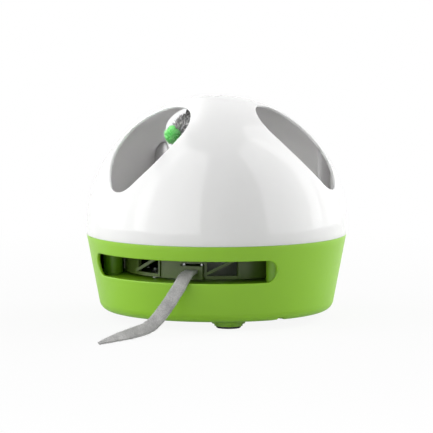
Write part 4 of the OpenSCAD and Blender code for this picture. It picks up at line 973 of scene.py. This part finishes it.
def felt_ear(name, node):
    """A cupped round of felt, standing where the CAD ear stands."""
    points = np.array([v.co for v in frame["nodes"][node].data.vertices])
    flat = points - points.mean(0)
    # The last axis of the points' spread is the one through the felt
    thin = np.linalg.svd(flat, full_matrices=False)[2][2]
    thin = thin * np.sign(thin @ turned_about_z([[1, 0, 0]], mouse_turn)[0])
    wide = lengthwise(np.cross([0, 0, 1.0], thin))
    tall = np.cross(thin, wide)
    top = (points @ tall).max()
    middle = points.mean(0)
    middle = middle + tall * (top - EAR_R - middle @ tall)
    turn = round_turns(EAR_SIDES)
    ring = np.cos(turn)[:, None] * wide + np.sin(turn)[:, None] * tall
    profile = [(k / EAR_RINGS, EAR_FACE) for k in range(1, EAR_RINGS)] + [(1, EAR_EDGE), (1, -EAR_EDGE)]
    profile += [(k / EAR_RINGS, -EAR_FACE) for k in range(EAR_RINGS - 1, 0, -1)]
    rows = [middle + EAR_R * share * ring + thin * (EAR_CUP * (share**2 - EAR_DIP) + EAR_T * face)
            for share, face in profile]
    skin = Skin()
    skin.add_rows(rows, closed=True)
    for face, row in ((EAR_FACE, rows[0]), (-EAR_FACE, rows[-1])):
        skin.add_fan(middle + thin * (EAR_T * face - EAR_CUP * EAR_DIP), row)
    draw = np.random.default_rng(len(name))
    spot = draw.integers(0, len(rows), EAR_FUZZ), draw.integers(0, EAR_SIDES, EAR_FUZZ)
    root = np.array(rows)[spot]
    way = (root - middle) / EAR_R + FUZZ_SPREAD * draw.normal(size=root.shape)
    fuzz = draw.uniform(*EAR_FUZZ_LONG, EAR_FUZZ) * MM
    plant_fibres(skin, root, way, fuzz, FUZZ_WIDE, EAR_FUZZ_BEND * draw.normal(size=root.shape))
    made = make_piece(name, skin, "carousel", [ear_felt], [node])


felt_ear("felt_ear_left", "mouse_ear_left")
felt_ear("felt_ear_right", "mouse_ear_right")

# %% Pompom nose
POMPOM_R = 7 * MM
POMPOM_CORE = 5.4 * MM
KNOT_R = 4 * MM
YARN_ENDS = 420
YARN_PLIES = 9
YARN_DARK = 0.4
# Shortest and longest yarn end, as shares of the pile's depth, and its plies, as shares of the yarn end
YARN_LONG = (0.92, 1.16)
PLY_LONG = (0.94, 1.02)
PLY_SPREAD = 0.07
PLY_BEND = 0.12
PLY_WIDE = 0.24 * MM
NOSE_OUT = 1 * MM
BALL_SIDES = 24
BALL_ROWS = 15
BALL_END = 0.05
POMPOM_SEED = 21
pompom_draw = np.random.default_rng(POMPOM_SEED)
pompom_mid = head_place([[HEAD_LONG + NOSE_OUT, 0, 0]])[0]
yarn_way = np.repeat(lengthwise(pompom_draw.normal(size=(YARN_ENDS, 3))), YARN_PLIES, axis=0)
yarn_long = np.repeat(pompom_draw.uniform(*YARN_LONG, YARN_ENDS), YARN_PLIES)
yarn_dark = np.repeat(pompom_draw.random(YARN_ENDS) < YARN_DARK, YARN_PLIES)
pompom_way = yarn_way + PLY_SPREAD * pompom_draw.normal(size=yarn_way.shape)
pompom_long = (POMPOM_R - KNOT_R) * yarn_long * pompom_draw.uniform(*PLY_LONG, len(yarn_way))
pompom_bend = PLY_BEND * pompom_draw.normal(size=yarn_way.shape)
pompom_skin = Skin()
for finish, tone in ((0, ~yarn_dark), (1, yarn_dark)):
    way = pompom_way[tone]
    plant_fibres(pompom_skin, pompom_mid + KNOT_R * lengthwise(way), way, pompom_long[tone], PLY_WIDE,
                 pompom_bend[tone], finish)
ball_turn = round_turns(BALL_SIDES)
ball_rows = [pompom_mid + POMPOM_CORE * np.stack(
    [math.sin(a) * np.cos(ball_turn), math.sin(a) * np.sin(ball_turn), 0 * ball_turn + math.cos(a)], 1)
    for a in np.linspace(BALL_END, math.pi - BALL_END, BALL_ROWS)]
pompom_skin.add_rows(ball_rows, closed=True, finish=1)
pompom_skin.add_fan(pompom_mid + [0, 0, POMPOM_CORE], ball_rows[0], finish=1)
pompom_skin.add_fan(pompom_mid - [0, 0, POMPOM_CORE], ball_rows[-1], finish=1)
make_piece("yarn_pompom", pompom_skin, "carousel", [pompom_yarn, pompom_yarn_dark], ["nose_pompom"])

# %% [markdown]
# ## Light, floor and background
# Product pictures like this one are lit by large soft boxes, left and right of the lens, on a white sweep. Here two
# stand on each side and one hangs above. Each standing box is two lamps: one that only lights the toy, and a card
# that only shows in reflections, so that the light's level and the dome's bright fields can be set apart. The cards'
# edges leave a grey band between two bright fields. A narrow lamp (a snoot) shines through the left window, or the
# mouse would sit in the dark. The background is white by its own colour: the world and the floor show white to the
# camera and to reflections, while the light on the toy stays at a plain level.

# %% Soft boxes
LAMP_DISTANCE = 1.3
LAMP_TALL = 1.8
CARD_GAP = 0.02
CARD_TALL = 3.7
# Each box: azimuth in degrees, width in metres, and power in watts as light and as a reflection
standing_boxes = {
    "left_softbox": (-52, 1.5, 8.5, 28.8),
    "left_wall": (-100, 1.5, 18.0, 28.8),
    "right_softbox": (66, 1.5, 7.5, 22.6),
    "right_wall": (106, 1.1, 20.0, 16.6),
}
TOP_POWER = 4.0
TOP_SIZE = 1.2


def add_softbox(name, width, height, power, place, shine, reflected):
    """A rectangular soft box that shines along a direction, either as light or as a reflection."""
    lamp = bpy.data.lights.new(name, "AREA")
    lamp.shape = "RECTANGLE"
    lamp.size, lamp.size_y, lamp.energy = width, height, power
    box = put(name, lamp)
    box.location = place
    aim(box, shine)
    box.visible_glossy = reflected
    box.visible_diffuse = not reflected


for name, (azimuth, width, light_power, card_power) in standing_boxes.items():
    way = toward(azimuth, 0)
    foot = way * LAMP_DISTANCE
    card_foot = way * (LAMP_DISTANCE - CARD_GAP)
    add_softbox(name, width, LAMP_TALL, light_power, foot + Vector((0, 0, LAMP_TALL / 2)), -way, False)
    add_softbox(name + "_card", width, CARD_TALL, card_power, card_foot + Vector((0, 0, CARD_TALL / 2)), -way, True)
add_softbox("top_softbox", TOP_SIZE, TOP_SIZE, TOP_POWER, Vector((0, 0, LAMP_DISTANCE)), Vector((0, 0, -1)), False)
print("soft boxes:", list(standing_boxes), "and one above")

# %% A narrow lamp on the mouse
SNOOT_DISTANCE = 1.1
SNOOT_POOL = 17 * MM
SNOOT_POWER = 160.0
SNOOT_SIZE = 0.03
SNOOT_AZIMUTH = -48
SNOOT_ELEVATION = 36
snoot_lamp = bpy.data.lights.new("mouse_snoot", "SPOT")
snoot_lamp.energy = SNOOT_POWER
snoot_lamp.shadow_soft_size = SNOOT_SIZE
snoot_lamp.spot_size = 2 * math.atan2(SNOOT_POOL, SNOOT_DISTANCE)
snoot_lamp.spot_blend = 1.0
snoot = put("mouse_snoot", snoot_lamp)
snoot_way = toward(SNOOT_AZIMUTH, SNOOT_ELEVATION)
snoot.location = Vector(pompom_mid) + snoot_way * SNOOT_DISTANCE
aim(snoot, -snoot_way)
print("snoot angle in degrees:", round(math.degrees(snoot_lamp.spot_size), 2))

# %% White world
AMBIENT = 0.1
WHITE = (1, 1, 1, 1)


def seen_directly(tree):
    """1 for rays from the camera and for reflected or refracted ones, 0 for the light on the toy."""
    path = add(tree, "ShaderNodeLightPath")
    two = add(tree, "ShaderNodeMath", {0: path.outputs["Is Camera Ray"], 1: path.outputs["Is Glossy Ray"]},
              operation="MAXIMUM")
    three = add(tree, "ShaderNodeMath", {0: two.outputs[0], 1: path.outputs["Is Transmission Ray"]},
                operation="MAXIMUM")
    return three.outputs[0]


world = bpy.data.worlds.new("white_studio")
scene.world = world
world.use_nodes = True
sky = world.node_tree
sky.nodes.clear()
strength = add(sky, "ShaderNodeMapRange", {"Value": seen_directly(sky), "To Min": AMBIENT, "To Max": 1.0})
glow = add(sky, "ShaderNodeBackground", {"Color": WHITE, "Strength": strength.outputs["Result"]})
add(sky, "ShaderNodeOutputWorld", {"Surface": glow.outputs[0]})
print("the world lights the toy with", AMBIENT, "of the white that it shows")

# %% White floor
FLOOR_HALF = 6.0
# Towards the toy, as far out as the reach, these shares of the floor's white give way to matt paper with a shadow on
# it: one share for the camera, one for reflections
SHADOW_REACH = 0.6
SHADOW_SHARE = 0.1
MIRROR_SHARE = 0.9
# Paper's own fibres are finer than a pixel, so its grain is drawn this wide
PAPER_GRAIN = 13 * MM
floor_mesh = bpy.data.meshes.new("studio_floor")
floor_corners = ((-1, -1), (1, -1), (1, 1), (-1, 1))
floor_mesh.from_pydata([(x * FLOOR_HALF, y * FLOOR_HALF, 0) for x, y in floor_corners], [], [(0, 1, 2, 3)])
studio_floor = put("studio_floor", floor_mesh)
floor_material, paper, paper_place = start_material("white_paper_sweep")
paper_grain = add(paper, "ShaderNodeTexNoise", {"Vector": paper_place, "Scale": 1 / PAPER_GRAIN, "Detail": 2.0})
paper_tone = add(paper, "ShaderNodeMix", {"Factor": paper_grain.outputs["Fac"], "A": tint("#DEDEDE"),
                                          "B": tint("#D9D9D9")}, data_type="RGBA")
matt = add(paper, "ShaderNodeBsdfDiffuse", {"Color": paper_tone.outputs["Result"]})
white = add(paper, "ShaderNodeEmission", {"Color": WHITE, "Strength": 1.0})
paper_scaled = add(paper, "ShaderNodeMapping", {"Vector": paper_place, "Scale": [1 / SHADOW_REACH] * 3})
near = add(paper, "ShaderNodeTexGradient", {"Vector": paper_scaled.outputs["Vector"]}, gradient_type="SPHERICAL")
own_white = add(paper, "ShaderNodeMapRange",
                {"Value": near.outputs["Fac"], "To Min": 1.0, "To Max": 1.0 - SHADOW_SHARE})
mirrored = add(paper, "ShaderNodeMapRange",
               {"Value": near.outputs["Fac"], "To Min": 1.0, "To Max": 1.0 - MIRROR_SHARE})
paper_path = add(paper, "ShaderNodeLightPath")
by_ray = add(paper, "ShaderNodeMix", {
    "Factor": paper_path.outputs["Is Glossy Ray"], "A": own_white.outputs["Result"], "B": mirrored.outputs["Result"]})
share = add(paper, "ShaderNodeMath", {0: seen_directly(paper), 1: by_ray.outputs["Result"]}, operation="MULTIPLY")
mixed = add(paper, "ShaderNodeMixShader", {"Fac": share.outputs[0], 1: matt.outputs[0], 2: white.outputs[0]})
end_material(paper, mixed)
floor_mesh.materials.append(floor_material)
scene.view_settings.view_transform = "Standard"
print("floor is", 2 * FLOOR_HALF, "m wide, materials in all:", len(bpy.data.materials))
